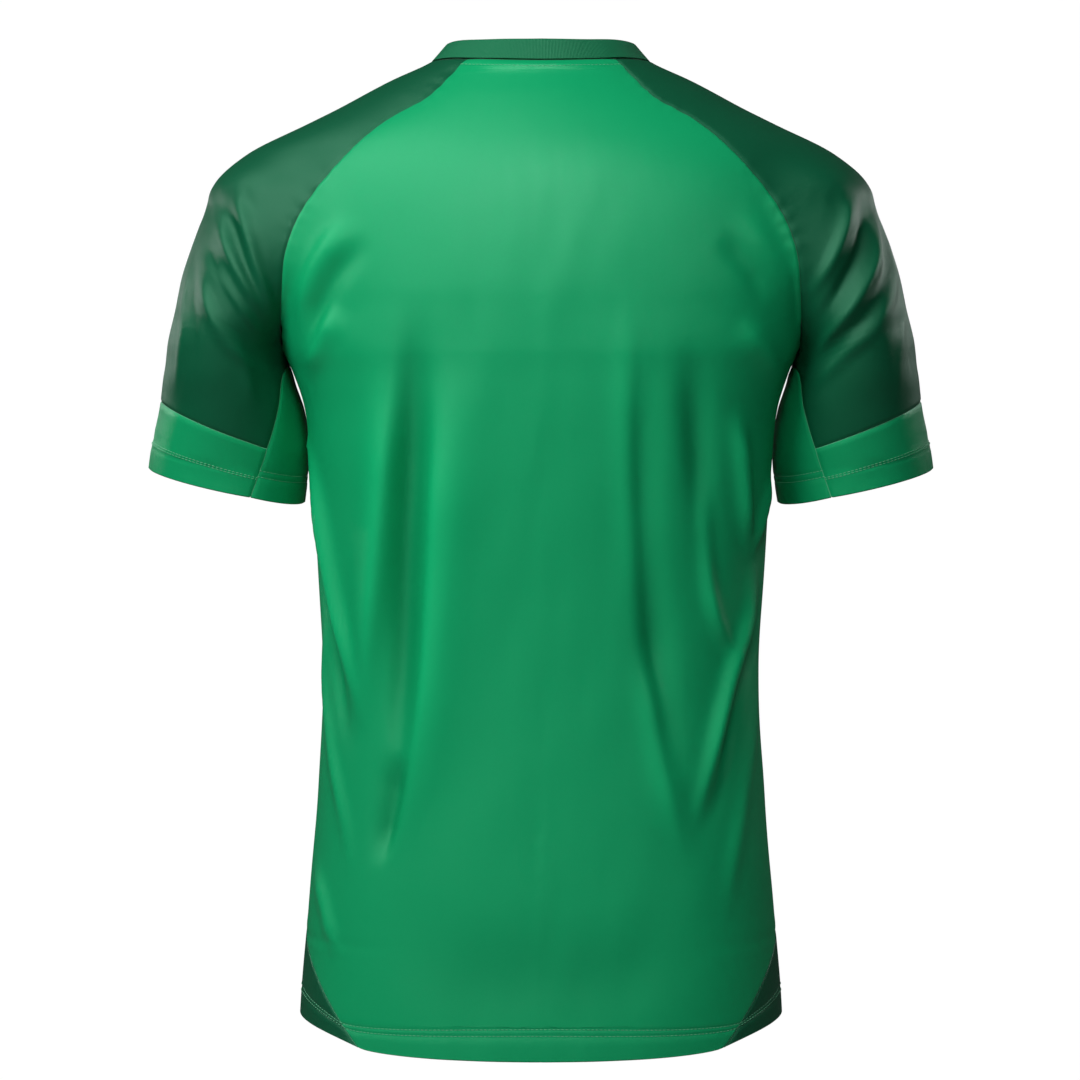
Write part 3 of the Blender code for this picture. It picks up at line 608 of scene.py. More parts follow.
@lru_cache(None)
def body_grid(side):
    """The back (+1) or the front (-1), from the hem up to the collar."""
    columns = BACK_COLUMNS if side > 0 else FRONT_COLUMNS
    drop = HEM_BACK_DROP if side > 0 else HEM_FRONT_DROP
    edge = np.vstack([insert_edge(side), side_seam()[1:], raglan_seam(side)[1:]])
    rows, gaps = [], []
    for point in edge[:-1]:
        gap = form_gap if point[2] > UNDERARM[2] + BARE_RISE else torso_gap
        back, front = torso_at(point[2])[0][2:4]
        near_hem = np.clip((point[2] - DIP_START) / (HEM_SIDE - DIP_START), 0, 1)
        near_neck = np.clip((point[2] - NECK_DIP_START) / (edge[-1][2] - NECK_DIP_START), 0, 1)
        neck_dip = (1 - side) / 2 * FRONT_NECK_DIP * near_neck**NECK_DIP_CURVE
        dip = (1 - HEM_CORNER_SHARE) * drop * near_hem**2 + neck_dip
        crown = (0, back if side > 0 else front, point[2] - dip)
        rows.append(across(point, mirrored(point), crown, columns, gap))
        gaps.append(gap)
    angle = NECK_ANGLE[side]
    rows.append(neck_line(angle, side * 180 - angle, columns))
    return as_grid(rows, gaps + [form_gap])


@lru_cache(None)
def sleeve_grid():
    """The sleeve from the collar down to the cuff band, over the shoulder."""
    edges = {side: np.vstack([raglan_seam(side)[::-1], under_edge(side)[0][1:]]) for side in (1, -1)}
    count = len(edges[1]) - 1
    crest = curve(CREST, count)
    rows, gaps = [neck_line(NECK_ANGLE[1], NECK_ANGLE[-1], SLEEVE_COLUMNS)], [form_gap]
    for i in range(1, count):
        gap = form_gap if edges[1][i][2] > UNDERARM[2] + BARE_RISE else arm_gap
        half_depth = arm_at(crest[i][2])[0, 3] if i > RAGLAN_STEPS / 2 else 0
        rows.append(across(edges[1][i], edges[-1][i], crest[i], SLEEVE_COLUMNS, gap, half_depth))
        gaps.append(gap)
    rows.append(cut_row(CUFF_SEAM, CUFF_SEAM_SPREAD))
    return as_grid(rows, gaps + [arm_gap])


def cut_row(cut, angle):
    """Round the outside of the sleeve where a slanted plane cuts it."""
    turns = np.linspace(angle, 360 - angle, SLEEVE_COLUMNS * 3 + 1)
    line = np.array([sleeve_point(turn, lambda x, y: cut_height(cut, x, y)) for turn in turns])
    return even(line, SLEEVE_COLUMNS)


@lru_cache(None)
def cuff_grid():
    """The band round the outside of the sleeve, from its hem up to the cuff seam."""
    rows = []
    for part in np.linspace(1, 0, CUFF_STEPS + 1):
        angle = CUFF_SEAM_SPREAD + part * (UNDER_SLEEVE_SPREAD - CUFF_SEAM_SPREAD)
        cut = Cut(*[(1 - part) * a + part * b for a, b in zip(CUFF_SEAM, SLEEVE_HEM)])
        rows.append(cut_row(cut, angle))
    return as_grid(rows, [arm_gap] * len(rows))


@lru_cache(None)
def under_grid():
    """From the sleeve's hem up to just below the underarm, where it is narrow."""
    back_edge, front_edge = [np.vstack([under_edge(side)[0], under_edge(side)[1][1:]]) for side in (1, -1)]
    rows = []
    for back, front in zip(back_edge[1:], front_edge[1:]):
        height = (back[2] + front[2]) / 2
        centre_x, centre_y, half_width, _ = arm_at(height)[0]
        crown = (centre_x - half_width, centre_y, height - UNDER_SLEEVE_DIP * (UNDERARM[2] - height))
        rows.append(across(back, front, crown, UNDER_COLUMNS, arm_gap))
    tip = [back_edge[0] + (point - back_edge[0]) * TIP_SHARE for point in rows[0]]
    tip = settle(np.array(tip) - (0, 0, TIP_DROP), arm_gap)
    return as_grid(([tip] + rows)[::-1], [arm_gap] * (len(rows) + 1))


@lru_cache(None)
def insert_grid():
    """The triangle let into the side of the hem."""
    rows = []
    for i, (back, front) in enumerate(zip(insert_edge(1)[:-1], insert_edge(-1)[:-1])):
        height = INSERT_TOP + (1 - i / INSERT_STEPS) * (HEM_SIDE - INSERT_TOP)
        half_width, middle = torso_at(height)[0, :2]
        rows.append(across(back, front, (half_width, middle, height), INSERT_COLUMNS, torso_gap))
    apex = side_seam()[0]
    top = np.array([apex + (point - apex) * TIP_SHARE for point in rows[-1]])
    rows.append(settle(top, torso_gap))
    return as_grid(rows, [torso_gap] * len(rows))


# ---- the drape ------------------------------------------------------------------------

FoldLine = namedtuple("FoldLine", "fold points along aside length")


@lru_cache(None)
def fold_lines():
    """Each fold with its line on the form, its direction, and the way from the middle."""
    lines = []
    for fold in FOLDS:
        guides = [(x, OUTSIDE * fold.side, z) for x, z in fold.path]
        count = max(int(runs(np.array(guides, float))[-1] / FOLD_SPACING), 8)
        points = settle_level(curve(guides, count))
        along = unit(np.gradient(points, axis=0))
        aside = unit(np.cross(along, outward(points, form_gap)))
        middle = np.sign(points[len(points) // 2, 0]) or 1
        aside *= np.sign(aside[:, :1] * middle) + (aside[:, :1] == 0)
        lines.append(FoldLine(fold, points, along, aside, runs(points)[-1]))
    return lines


def smooth_step(t):
    t = np.clip(t, 0, 1)
    return t * t * (3 - 2 * t)


def nearest_on(points, line, along, reach):
    """Which points lie within reach of a line, and for each the line's nearest point
    and the step from it."""
    near = np.flatnonzero(((points > line.min(0) - reach) & (points < line.max(0) + reach)).all(axis=1))
    if not near.size:
        return near, near, np.zeros((0, 3)), np.zeros(0)
    apart = points[near]
    blocks = np.array_split(apart, len(apart) // 2000 + 1)
    index = np.concatenate([((block[:, None] - line[None])**2).sum(2).argmin(1) for block in blocks])
    step = apart - line[index]
    ahead = (step * along[index]).sum(1)
    return near, index, step, ahead


def fold_height(points):
    """How far the folds lift each point. A fold is wide and soft where it starts and
    narrower towards its end, and dies away at both."""
    total = np.zeros(len(points))
    for fold, line, along, aside, total_length in fold_lines():
        near, index, step, ahead = nearest_on(points, line, along, FOLD_REACH * max(fold.outer, fold.inner))
        if not near.size:
            continue
        place = np.clip((index / (len(line) - 1) * total_length + ahead) / total_length, 0, 1)
        apart = np.sqrt(np.maximum((step**2).sum(1) - ahead**2, 0))
        flank = np.where((step * aside[index]).sum(1) > 0, fold.outer, fold.inner)
        width = flank * (FOLD_START_WIDTH - FOLD_NARROWING * place)
        taper = smooth_step(place / FOLD_RISE) * smooth_step((1 - place) / FOLD_FADE)
        total[near] += fold.height * taper * np.exp(-(apart / width)**2)
    return total


def wave_height(points):
    """Shallow waves all over, running mostly up and down, faded out near the neck."""
    x, y, z = points.T
    round_body = x + WAVE_DEPTH_SHARE * y * np.sign(x)
    total = sum(part * np.sin(2 * np.pi * (round_body / across_size + z / up_size) + start)
                for across_size, up_size, part, start in WAVES)
    return total * smooth_step((-z - WAVE_START) / WAVE_RISE)


@lru_cache(None)
def gather_lines():
    """The seams that draw the cloth into small gathers: line, direction and spacing."""
    lines = []
    for side in (1, -1):
        seam = even(raglan_seam(side), GATHER_STEPS)
        lines += [(seam, GATHER_SPACING_LEFT), (mirrored(seam), GATHER_SPACING_RIGHT)]
    return [(line, unit(np.gradient(line, axis=0)), spacing) for line, spacing in lines]


def gather_height(points):
    """The small gathers beside the armhole seams, uneven along each seam."""
    total = np.zeros(len(points))
    for line, along, spacing in gather_lines():
        near, index, step, ahead = nearest_on(points, line, along, GATHER_LIMIT * GATHER_REACH)
        if not near.size:
            continue
        place = runs(line)[index] + ahead
        apart = np.linalg.norm(step, axis=1)
        wave = np.sin(2 * np.pi * place / spacing + GATHER_WANDER * np.sin(place / GATHER_WANDER_RUN))
        uneven = GATHER_MEAN + GATHER_SWING * np.sin(place / GATHER_SWING_RUN + spacing)
        total[near] += wave * uneven * np.exp(-(apart / GATHER_REACH)**2)
    return total


# ---- finishing a panel ----------------------------------------------------------------

SEAM_HALF_GAP = 0.08      # each panel stops this far short of its seam
SEAM_LINES = (0.6, 1.8)   # where extra rows lie beside a seam, in millimetres
NECK_BAND = 7.5           # the stitched turning under the collar at the back
SEAM_REACH = 1.1
STITCH_REACH = 1.0
NECK_BAND_RISE = 0.6      # how far the turning stands up between the seam and its stitches
NECK_BAND_SPREAD = 2.2
ROW_SHARE = 0.4           # the most of a column that the extra rows at one border take up
ROW_CLEARANCE = 0.8       # how close to them another row may lie
HEM_EXTRA = 0.9           # how much thicker the doubled cloth of a hem is
HEM_STEP = 1.2            # and over how far it thins above its stitches
HEM_ROUND = 1.2           # how far a turned edge bulges at most, and how much of that shows
HEM_ROUND_SHARE = 0.8
FOLD_SHADING_HEIGHT = 5             # the height of fold at which its painted highlight on crests and painted shade in troughs are full
SHARP_EDGE = 55           # edges sharper than this many degrees are not shaded as smooth

Border = namedtuple("Border", "kind depth gap")
SEAM = Border("seam", 0, 0)
Skin = namedtuple("Skin", "outer inner normals uv relief start end")


def lines_beside(border):
    """Distances from a border at which the cloth needs a row of its own."""
    if border.kind == "seam":
        return SEAM_LINES
    if border.kind == "neck":
        return (0.6, 2.2, 4.2, 6.3, border.depth, border.depth + 1.2, border.depth + 3)
    upper, lower = border.depth, border.depth - border.gap
    return (0.5, 2.5, 6, 10.5, lower - 1.4, lower, lower + 1.2, upper - 1.2, upper, upper + 1.2, upper + 3)


def distances(points):
    """Each point's distance from the first and from the last row, along its column."""
    steps = np.linalg.norm(np.diff(points, axis=0), axis=2)
    run = np.vstack([np.zeros(points.shape[1]), np.cumsum(steps, axis=0)])
    return run, run[-1] - run


def respaced(grid, near, far):
    """Replace the rows near a grid's first and last row by rows at set distances."""
    run = distances(grid[..., :3])[0]
    whole = run[-1]

    def at(distance):
        index = np.clip((run < distance).sum(axis=0) - 1, 0, len(run) - 2)
        column = np.arange(grid.shape[1])
        start, end = run[index, column], run[index + 1, column]
        t = ((distance - start) / np.maximum(end - start, 1e-9))[:, None]
        return grid[index, column] * (1 - t) + grid[index + 1, column] * t

    def beside(gaps):
        return [np.minimum(d, whole * ROW_SHARE * (i + 1) / len(gaps)) for i, d in enumerate(gaps)]

    first = [at(distance) for distance in beside(near)]
    last = [at(whole - distance) for distance in beside(far)]
    middle = run.mean(axis=1)
    keep = (middle > near[-1] + ROW_CLEARANCE) & (middle < middle[-1] - far[-1] - ROW_CLEARANCE)
    rows = [grid[:1], np.array(first), grid[keep], np.array(last[::-1]), grid[-1:]]
    return np.concatenate(rows)


def dent(border, distance, drape):
    """How far a border's seam or stitch lines draw the cloth in."""
    seam_dip, stitch_dip = drape.seam_dip / MM, drape.stitch_dip / MM
    seam = seam_dip * np.exp(-(distance / SEAM_REACH)**2)
    if border.kind == "seam":
        return seam
    upper = stitch_dip * np.exp(-((distance - border.depth) / STITCH_REACH)**2)
    if border.kind == "neck":
        middle = (distance - 0.5 * border.depth) / NECK_BAND_SPREAD
        return seam + upper - NECK_BAND_RISE * np.exp(-middle**2)
    lower = stitch_dip * np.exp(-((distance - border.depth + border.gap) / STITCH_REACH)**2)
    return upper + lower


def pull_in(line, inner, amount):
    return line + unit(inner - line) * amount


def trimmed(points):
    """Stop a panel short of the seams on all four sides."""
    out = points.copy()
    out[0], out[-1] = pull_in(out[0], out[1], SEAM_HALF_GAP), pull_in(out[-1], out[-2], SEAM_HALF_GAP)
    left = pull_in(out[:, 0], out[:, 1], SEAM_HALF_GAP)
    right = pull_in(out[:, -1], out[:, -2], SEAM_HALF_GAP)
    out[:, 0], out[:, -1] = left, right
    return out


def make_skin(grid, start, end, sizes, drape, mirror):
    """Lay a panel's cloth over the form, with its folds, seams and stitch lines."""
    grid = respaced(grid, lines_beside(start), lines_beside(end))
    grid = respaced(grid.transpose(1, 0, 2), SEAM_LINES, SEAM_LINES).transpose(1, 0, 2)
    points, normals = trimmed(grid[..., :3]), unit(grid[..., 3:])
    if mirror:
        points, normals = mirrored(points), mirrored(normals)
    shape = points.shape[:2]
    flat = points.reshape(-1, 3)
    folds = fold_height(flat).reshape(shape) * drape.folds
    lift = (folds + wave_height(flat).reshape(shape) * drape.waves / MM
            + gather_height(flat).reshape(shape) * drape.pucker / MM)
    from_start, from_end = distances(points)
    from_left, from_right = (run.T for run in distances(points.transpose(1, 0, 2)))
    dents = dent(start, from_start, drape) + dent(end, from_end, drape)
    sides = np.maximum(dent(SEAM, from_left, drape), dent(SEAM, from_right, drape))
    outer = points + normals * (lift - np.maximum(dents, sides))[..., None]
    doubled = np.zeros(shape)
    if start.kind == "hem":
        doubled = 1 - smooth_step((from_start - start.depth) / HEM_STEP)
    thickness = sizes.cloth / MM * (1 + HEM_EXTRA * doubled)
    inner = outer - normals * thickness[..., None]
    half = shape[1] // 2
    u = from_left - from_left[:, half:half + 1]
    v = np.repeat(from_start[:, half:half + 1], shape[1], axis=1)
    uv = np.stack([u, v], axis=2) * MM
    # The relief field carries the folds' depth, which the cloth's material turns into painted highlight on
    # crests and painted shade in troughs.
    return Skin(outer, inner, normals, uv, folds / FOLD_SHADING_HEIGHT, from_start, from_end)


def grid_quads(index):
    return np.stack([index[:-1, :-1], index[:-1, 1:], index[1:, 1:], index[1:, :-1]], axis=2).reshape(-1, 4)


def skin_mesh(name, skin):
    """A closed wall: the outer skin, the inner one and the edges between them, of
    which the first row's is rounded, as a turned hem is."""
    rows, columns = skin.outer.shape[:2]
    outer = np.arange(rows * columns).reshape(rows, columns)
    inner = outer + rows * columns
    rim_index = 2 * rows * columns + np.arange(columns)
    middle = (skin.outer[0] + skin.inner[0]) / 2
    bulge = np.linalg.norm(skin.outer[0] - skin.inner[0], axis=1, keepdims=True) / 2
    rim = middle - unit(skin.outer[1] - skin.outer[0]) * np.minimum(bulge, HEM_ROUND) * HEM_ROUND_SHARE
    rim[0], rim[-1] = middle[0], middle[-1]
    places = np.concatenate([skin.outer.reshape(-1, 3), skin.inner.reshape(-1, 3), rim]) * MM
    quads = [grid_quads(outer), grid_quads(inner)[:, ::-1]]
    strips = [(outer[0], rim_index), (rim_index, inner[0]), (outer[-1][::-1], inner[-1][::-1])]
    quads += [grid_quads(np.array(strip))[:, ::-1] for strip in strips]
    left = [(outer[:, 0], inner[:, 0]), (outer[::-1, -1], inner[::-1, -1])]
    quads += [grid_quads(np.array(strip)) for strip in left]
    corners = [(outer[0, 0], rim_index[0], inner[0, 0]), (inner[0, -1], rim_index[-1], outer[0, -1])]
    faces = np.concatenate(quads).tolist() + [[int(i) for i in corner] for corner in corners]
    mesh = bpy.data.meshes.new(name)
    mesh.from_pydata(places.tolist(), [], faces)
    uv = np.concatenate([skin.uv.reshape(-1, 2), skin.uv.reshape(-1, 2), skin.uv[0]])
    relief = np.concatenate([skin.relief.ravel(), skin.relief.ravel(), skin.relief[0]])
    finish_mesh(mesh, uv, relief)
    return mesh


def finish_mesh(mesh, uv, relief):
    """Turn the faces outwards, and store the cloth's map and the depth of its folds."""
    work = bmesh.new()
    work.from_mesh(mesh)
    bmesh.ops.recalc_face_normals(work, faces=work.faces)
    work.to_mesh(mesh)
    work.free()
    corners = np.empty(len(mesh.loops), dtype=np.int64)
    mesh.loops.foreach_get("vertex_index", corners)
    mesh.uv_layers.new(name="cloth").data.foreach_set("uv", uv[corners].astype(np.float32).ravel())
    # The folds' depth, which the cloth's material turns into painted highlight on crests and painted shade in
    # troughs.
    field = mesh.attributes.new("relief", "FLOAT", "POINT")
    field.data.foreach_set("value", np.asarray(relief, dtype=np.float32))
    mesh.shade_smooth()
    mesh.set_sharp_from_angle(angle=math.radians(SHARP_EDGE))


# ---- pieces ---------------------------------------------------------------------------

SKINS = {}      # the skins of the panels made so far, by piece, for the seams and stitches


def link(name, mesh, *materials):
    obj = bpy.data.objects.new(name, mesh)
    bpy.context.scene.collection.objects.link(obj)
    for material in materials:
        mesh.materials.append(material)
    return obj


def clear(*names):
    """Remove what an earlier run of an operator made."""
    for name in names:
        if name in bpy.data.objects:
            bpy.data.objects.remove(bpy.data.objects[name])


def panel(node, grid, start, end, material, mirror=False):
    """Make one cut piece of the jersey in place of its CAD node."""
    scene = bpy.context.scene
    name = node + "_cloth"
    clear(name)
    skin = make_skin(grid, start, end, scene.jersey_sizes, scene.jersey_drape, mirror)
    SKINS[node] = skin
    piece = link(name, skin_mesh(name, skin), material)
    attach(piece, BODY)
    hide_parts(node)
    return piece


# ---- what is sewn: cords and stitches by Geometry Nodes ---------------------------------

STITCH_SHARE = 0.86       # how much of its pitch a stitch fills
STITCH_SLANT = 0.06       # how far it may be turned off its line, in radians
STITCH_RISE = 0.25        # how far its middle stands over the cloth, in thicknesses
CORD_SIDES = 8
CORD_SHOWING = 0.1        # how far a seam's cord stands out of the cloth
THREAD_SIDES = 5
OVERLOCK_DEPTH = 0.3      # how far inside the cloth the overlock thread lies
OVERLOCK_REACH = 2.6      # and how far it runs to each side of its seam
OVERLOCK_PITCH = 2.3


def add_socket(tree, name, kind, way="INPUT"):
    return tree.interface.new_socket(name=name, in_out=way, socket_type="NodeSocket" + kind)


def add_node(tree, kind, inputs=(), **settings):
    """Add a node, set its properties, and link or fill the inputs given by name or
    place."""
    node = tree.nodes.new(kind)
    for key, value in settings.items():
        setattr(node, key, value)
    for key, value in dict(inputs).items():
        if isinstance(value, bpy.types.NodeSocket):
            tree.links.new(value, node.inputs[key])
        else:
            node.inputs[key].default_value = value
    return node


def end_tree(tree, geometry, given):
    """Realize the instances, give them their material and put them out."""
    real = add_node(tree, "GeometryNodeRealizeInstances", {"Geometry": geometry})
    smooth = add_node(tree, "GeometryNodeSetShadeSmooth", {"Geometry": real.outputs["Geometry"]})
    painted = add_node(tree, "GeometryNodeSetMaterial",
                       {"Geometry": smooth.outputs["Geometry"], "Material": given["Material"]})
    add_node(tree, "NodeGroupOutput", {"Geometry": painted.outputs["Geometry"]})


def start_tree(name, numbers, wholes=()):
    """A new tree for cords or stitches, with inputs for its numbers and whole numbers."""
    old = bpy.data.node_groups.get(name)
    if old:
        bpy.data.node_groups.remove(old)
    tree = bpy.data.node_groups.new(name, "GeometryNodeTree")
    add_socket(tree, "Geometry", "Geometry", "OUTPUT")
    add_socket(tree, "Geometry", "Geometry")
    for number in numbers:
        add_socket(tree, number, "Float")
    for whole in wholes:
        add_socket(tree, whole, "Int")
    add_socket(tree, "Material", "Material")
    return tree, add_node(tree, "NodeGroupInput").outputs


def cord_tree():
    """A round cord along each line: the overlocked edges in a seam, or a thread."""
    tree, given = start_tree("Sewn Cord", ["Radius"], ["Sides"])
    path = add_node(tree, "GeometryNodeMeshToCurve", {"Mesh": given["Geometry"]})
    round_profile = add_node(tree, "GeometryNodeCurvePrimitiveCircle",
                             {"Resolution": given["Sides"], "Radius": given["Radius"]})
    cord = add_node(tree, "GeometryNodeCurveToMesh", {
        "Curve": path.outputs["Curve"], "Profile Curve": round_profile.outputs["Curve"], "Fill Caps": True})
    end_tree(tree, cord.outputs["Mesh"], given)
    return tree


def stitch_tree():
    """Stitches one after another along each line, each turned a little off it."""
    tree, given = start_tree("Stitch Row", ["Pitch", "Length", "Thickness", "Slant"], ["Seed"])
    path = add_node(tree, "GeometryNodeMeshToCurve", {"Mesh": given["Geometry"]})
    marks = add_node(tree, "GeometryNodeResampleCurve",
                     {"Curve": path.outputs["Curve"], "Length": given["Pitch"]}, mode="LENGTH")
    bead = add_node(tree, "GeometryNodeMeshUVSphere", {"Segments": 6, "Rings": 4, "Radius": 0.5})
    size = add_node(tree, "ShaderNodeCombineXYZ",
                    {"X": given["Length"], "Y": given["Thickness"], "Z": given["Thickness"]})
    stitch = add_node(tree, "GeometryNodeTransform",
                      {"Geometry": bead.outputs["Mesh"], "Scale": size.outputs["Vector"]})
    tangent = add_node(tree, "GeometryNodeInputTangent")
    along = add_node(tree, "FunctionNodeAlignRotationToVector", {"Vector": tangent.outputs["Tangent"]},
                     axis="X")
    low = add_node(tree, "ShaderNodeMath", {0: 0.0, 1: given["Slant"]}, operation="SUBTRACT")
    chance = add_node(tree, "FunctionNodeRandomValue", data_type="FLOAT")
    tree.links.new(low.outputs[0], chance.inputs[2])
    tree.links.new(given["Slant"], chance.inputs[3])
    tree.links.new(given["Seed"], chance.inputs["Seed"])
    tilt = add_node(tree, "ShaderNodeCombineXYZ", {"Y": chance.outputs[1], "Z": chance.outputs[1]})
    turn = add_node(tree, "FunctionNodeEulerToRotation", {"Euler": tilt.outputs["Vector"]})
    turned = add_node(tree, "FunctionNodeRotateRotation", {
        "Rotation": along.outputs["Rotation"], "Rotate By": turn.outputs["Rotation"]}, rotation_space="LOCAL")
    row = add_node(tree, "GeometryNodeInstanceOnPoints", {
        "Points": marks.outputs["Curve"], "Instance": stitch.outputs["Geometry"],
        "Rotation": turned.outputs["Rotation"]})
    end_tree(tree, row.outputs["Instances"], given)
    return tree


def sewn(name, lines, tree, **inputs):
    """Run a tree along lines of points, in millimetres, and keep its result as a plain
    mesh that rides on the jersey."""
    clear(name)
    places = np.concatenate(lines) * MM
    ends = np.cumsum([len(line) for line in lines])
    edges = [(i, i + 1) for end, line in zip(ends, lines) for i in range(end - len(line), end - 1)]
    mesh = bpy.data.meshes.new(name + "_path")
    mesh.from_pydata(places.tolist(), edges, [])
    path = link(name + "_path", mesh)
    modifier = path.modifiers.new("Sewing", "NODES")
    modifier.node_group = tree
    for item in tree.interface.items_tree:
        if item.item_type == "SOCKET" and item.in_out == "INPUT" and item.name in inputs:
            modifier[item.identifier] = inputs[item.name]
    drawn = path.evaluated_get(bpy.context.evaluated_depsgraph_get())
    result = bpy.data.meshes.new_from_object(drawn)
    result.name = name
    path.modifiers.remove(modifier)
    bpy.data.objects.remove(path)
    piece = link(name, result)
    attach(piece, BODY)
    return piece


# ---- materials --------------------------------------------------------------------------

SATIN = {"Specular IOR Level": 0.6, "Specular Tint": (0.42, 1.0, 0.68, 1)}
GREEN_ROUGHNESS = 0.37
DARK_ROUGHNESS = 0.43
RIB_ROUGHNESS = 0.55
THREAD_ROUGHNESS = 0.5
KNIT_RELIEF = 0.00022
RIB_RELIEF = 0.0006
THREAD_RELIEF = 0.0001
RIB_WALE = 1.6            # how many times wider and higher the rib's loops are than the cloth's
RIB_COURSE = 1.4


def start_group(name, inputs, outputs):
    """A new shader node group with named sockets: its tree, and its inputs' sockets."""
    tree = bpy.data.node_groups.new(name, "ShaderNodeTree")
    for socket_name, kind, default in inputs:
        socket = add_socket(tree, socket_name, kind)
        if default is not None:
            socket.default_value = default
    for socket_name, kind in outputs:
        add_socket(tree, socket_name, kind, "OUTPUT")
    return tree, add_node(tree, "NodeGroupInput").outputs


def reckon(tree, operation, *values):
    return add_node(tree, "ShaderNodeMath", dict(enumerate(values)), operation=operation).outputs[0]


def knit_loops():
    """The relief of plain knitting: round columns of slanting loops."""
    tree, given = start_group("Knit Loops", [("Vector", "Vector", None), ("Wale", "Float", 0.0012),
                                             ("Course", "Float", 0.0009)], [("Height", "Float")])
    place = add_node(tree, "ShaderNodeSeparateXYZ", {0: given["Vector"]})
    column = reckon(tree, "FRACT", reckon(tree, "DIVIDE", place.outputs["X"], given["Wale"]))
    aside = reckon(tree, "ABSOLUTE", reckon(tree, "SUBTRACT", column, 0.5))
    off_middle = reckon(tree, "MULTIPLY", aside, 2.0)
    round_top = reckon(tree, "SUBTRACT", 1.0, reckon(tree, "POWER", off_middle, 2.0))
    row = reckon(tree, "DIVIDE", place.outputs["Y"], given["Course"])
    slanted = reckon(tree, "MULTIPLY_ADD", off_middle, 0.55, row)
    wave = reckon(tree, "SINE", reckon(tree, "MULTIPLY", slanted, 2 * math.pi))
    height = reckon(tree, "MULTIPLY", round_top, reckon(tree, "MULTIPLY_ADD", wave, 0.22, 0.78))
    add_node(tree, "NodeGroupOutput", {"Height": height})
    return tree


def cloth_tone_and_shade():
    """Uneven dye, a painted glint on single loops with painted shade between them, and painted highlight on
    fold crests with painted shade in fold troughs.
    """
    tree, given = start_group(
        "Cloth Tone and Shade",
        [("Color", "Color", None), ("Vector", "Vector", None), ("Loops", "Float", 0.5),
         ("Relief", "Float", 0.0), ("Roughness", "Float", 0.5), ("Uneven", "Float", 0.08),
         ("Fold Shading", "Float", 0.15)],
        [("Color", "Color"), ("Roughness", "Float")])
    broad = add_node(tree, "ShaderNodeTexNoise", {"Vector": given["Vector"], "Scale": 7.0, "Detail": 3.0})
    fine = add_node(tree, "ShaderNodeTexNoise", {"Vector": given["Vector"], "Scale": 520.0, "Detail": 2.0})
    broad_part = reckon(tree, "SUBTRACT", broad.outputs[0], 0.5)
    fine_part = reckon(tree, "SUBTRACT", fine.outputs[0], 0.5)
    mottle = reckon(tree, "MULTIPLY", reckon(tree, "ADD", broad_part, fine_part), given["Uneven"])
    # Painted highlight on fold crests and painted shade in fold troughs, from the depth of the folds.
    fold_shading = reckon(tree, "MULTIPLY", given["Relief"], given["Fold Shading"])
    # Painted glint on the tops of the loops and painted shade between them.
    loops = reckon(tree, "MULTIPLY_ADD", given["Loops"], 0.10, -0.06)
    tone = reckon(tree, "ADD", reckon(tree, "ADD", mottle, fold_shading), loops)
    brightness = reckon(tree, "ADD", tone, 1.0)
    tinted = add_node(tree, "ShaderNodeVectorMath", {0: given["Color"], "Scale": brightness},
                      operation="SCALE")
    sheer = reckon(tree, "MULTIPLY_ADD", broad_part, 0.14, given["Roughness"])
    rough = reckon(tree, "MULTIPLY_ADD", fine_part, 0.10, sheer)
    add_node(tree, "NodeGroupOutput", {"Color": tinted.outputs[0], "Roughness": rough})
    return tree


def thread_ply():
    """The twist of sewing thread."""
    tree, given = start_group("Thread Ply", [("Vector", "Vector", None), ("Pitch", "Float", 0.0005)],
                              [("Height", "Float")])
    place = add_node(tree, "ShaderNodeSeparateXYZ", {0: given["Vector"]})
    level = reckon(tree, "ADD", place.outputs["X"], place.outputs["Y"])
    total = reckon(tree, "ADD", level, place.outputs["Z"])
    turns = reckon(tree, "MULTIPLY", reckon(tree, "DIVIDE", total, given["Pitch"]), 2 * math.pi)
    add_node(tree, "NodeGroupOutput", {"Height": reckon(tree, "SINE", turns)})
    return tree


def shared_group(name, make):
    return bpy.data.node_groups.get(name) or make()


def place_group(tree, group, **inputs):
    return add_node(tree, "ShaderNodeGroup", inputs, node_tree=group)


def start_material(name, constants):
    material = bpy.data.materials.get(name) or bpy.data.materials.new(name)
    material.use_nodes = True
    tree = material.node_tree
    tree.nodes.clear()
    shader = add_node(tree, "ShaderNodeBsdfPrincipled", constants)
    add_node(tree, "ShaderNodeOutputMaterial", {"Surface": shader.outputs["BSDF"]})
    return material, tree, shader


def cover(tree, shader, tone, height, strength, relief):
    """Give a shader its tone and its relief."""
    bump = add_node(tree, "ShaderNodeBump", {"Height": height, "Strength": strength, "Distance": relief})
    tree.links.new(tone.outputs["Color"], shader.inputs["Base Color"])
    tree.links.new(tone.outputs["Roughness"], shader.inputs["Roughness"])
    tree.links.new(bump.outputs["Normal"], shader.inputs["Normal"])


def knit_material(name, tint, wale, course, roughness, relief=KNIT_RELIEF):
    """Knitted polyester: loops in relief, satin on the crests of its folds, painted highlight on those crests
    and painted shade in their troughs.
    """
    material, tree, shader = start_material(name, SATIN)
    cloth_map = add_node(tree, "ShaderNodeUVMap", uv_map="cloth")
    places = add_node(tree, "ShaderNodeTexCoord")
    fold_depth = add_node(tree, "ShaderNodeAttribute", attribute_name="relief")
    loops = place_group(tree, shared_group("Knit Loops", knit_loops), Vector=cloth_map.outputs["UV"],
                        Wale=wale, Course=course)
    # The tone group paints highlight on fold crests, shade in fold troughs, and a glint on each loop's top
    # with shade between the loops.
    tone = place_group(tree, shared_group("Cloth Tone and Shade", cloth_tone_and_shade), Color=(*tint, 1),
                       Vector=places.outputs["Object"], Loops=loops.outputs["Height"],
                       Relief=fold_depth.outputs["Fac"], Roughness=roughness)
    cover(tree, shader, tone, loops.outputs["Height"], 0.5, relief)
    return material


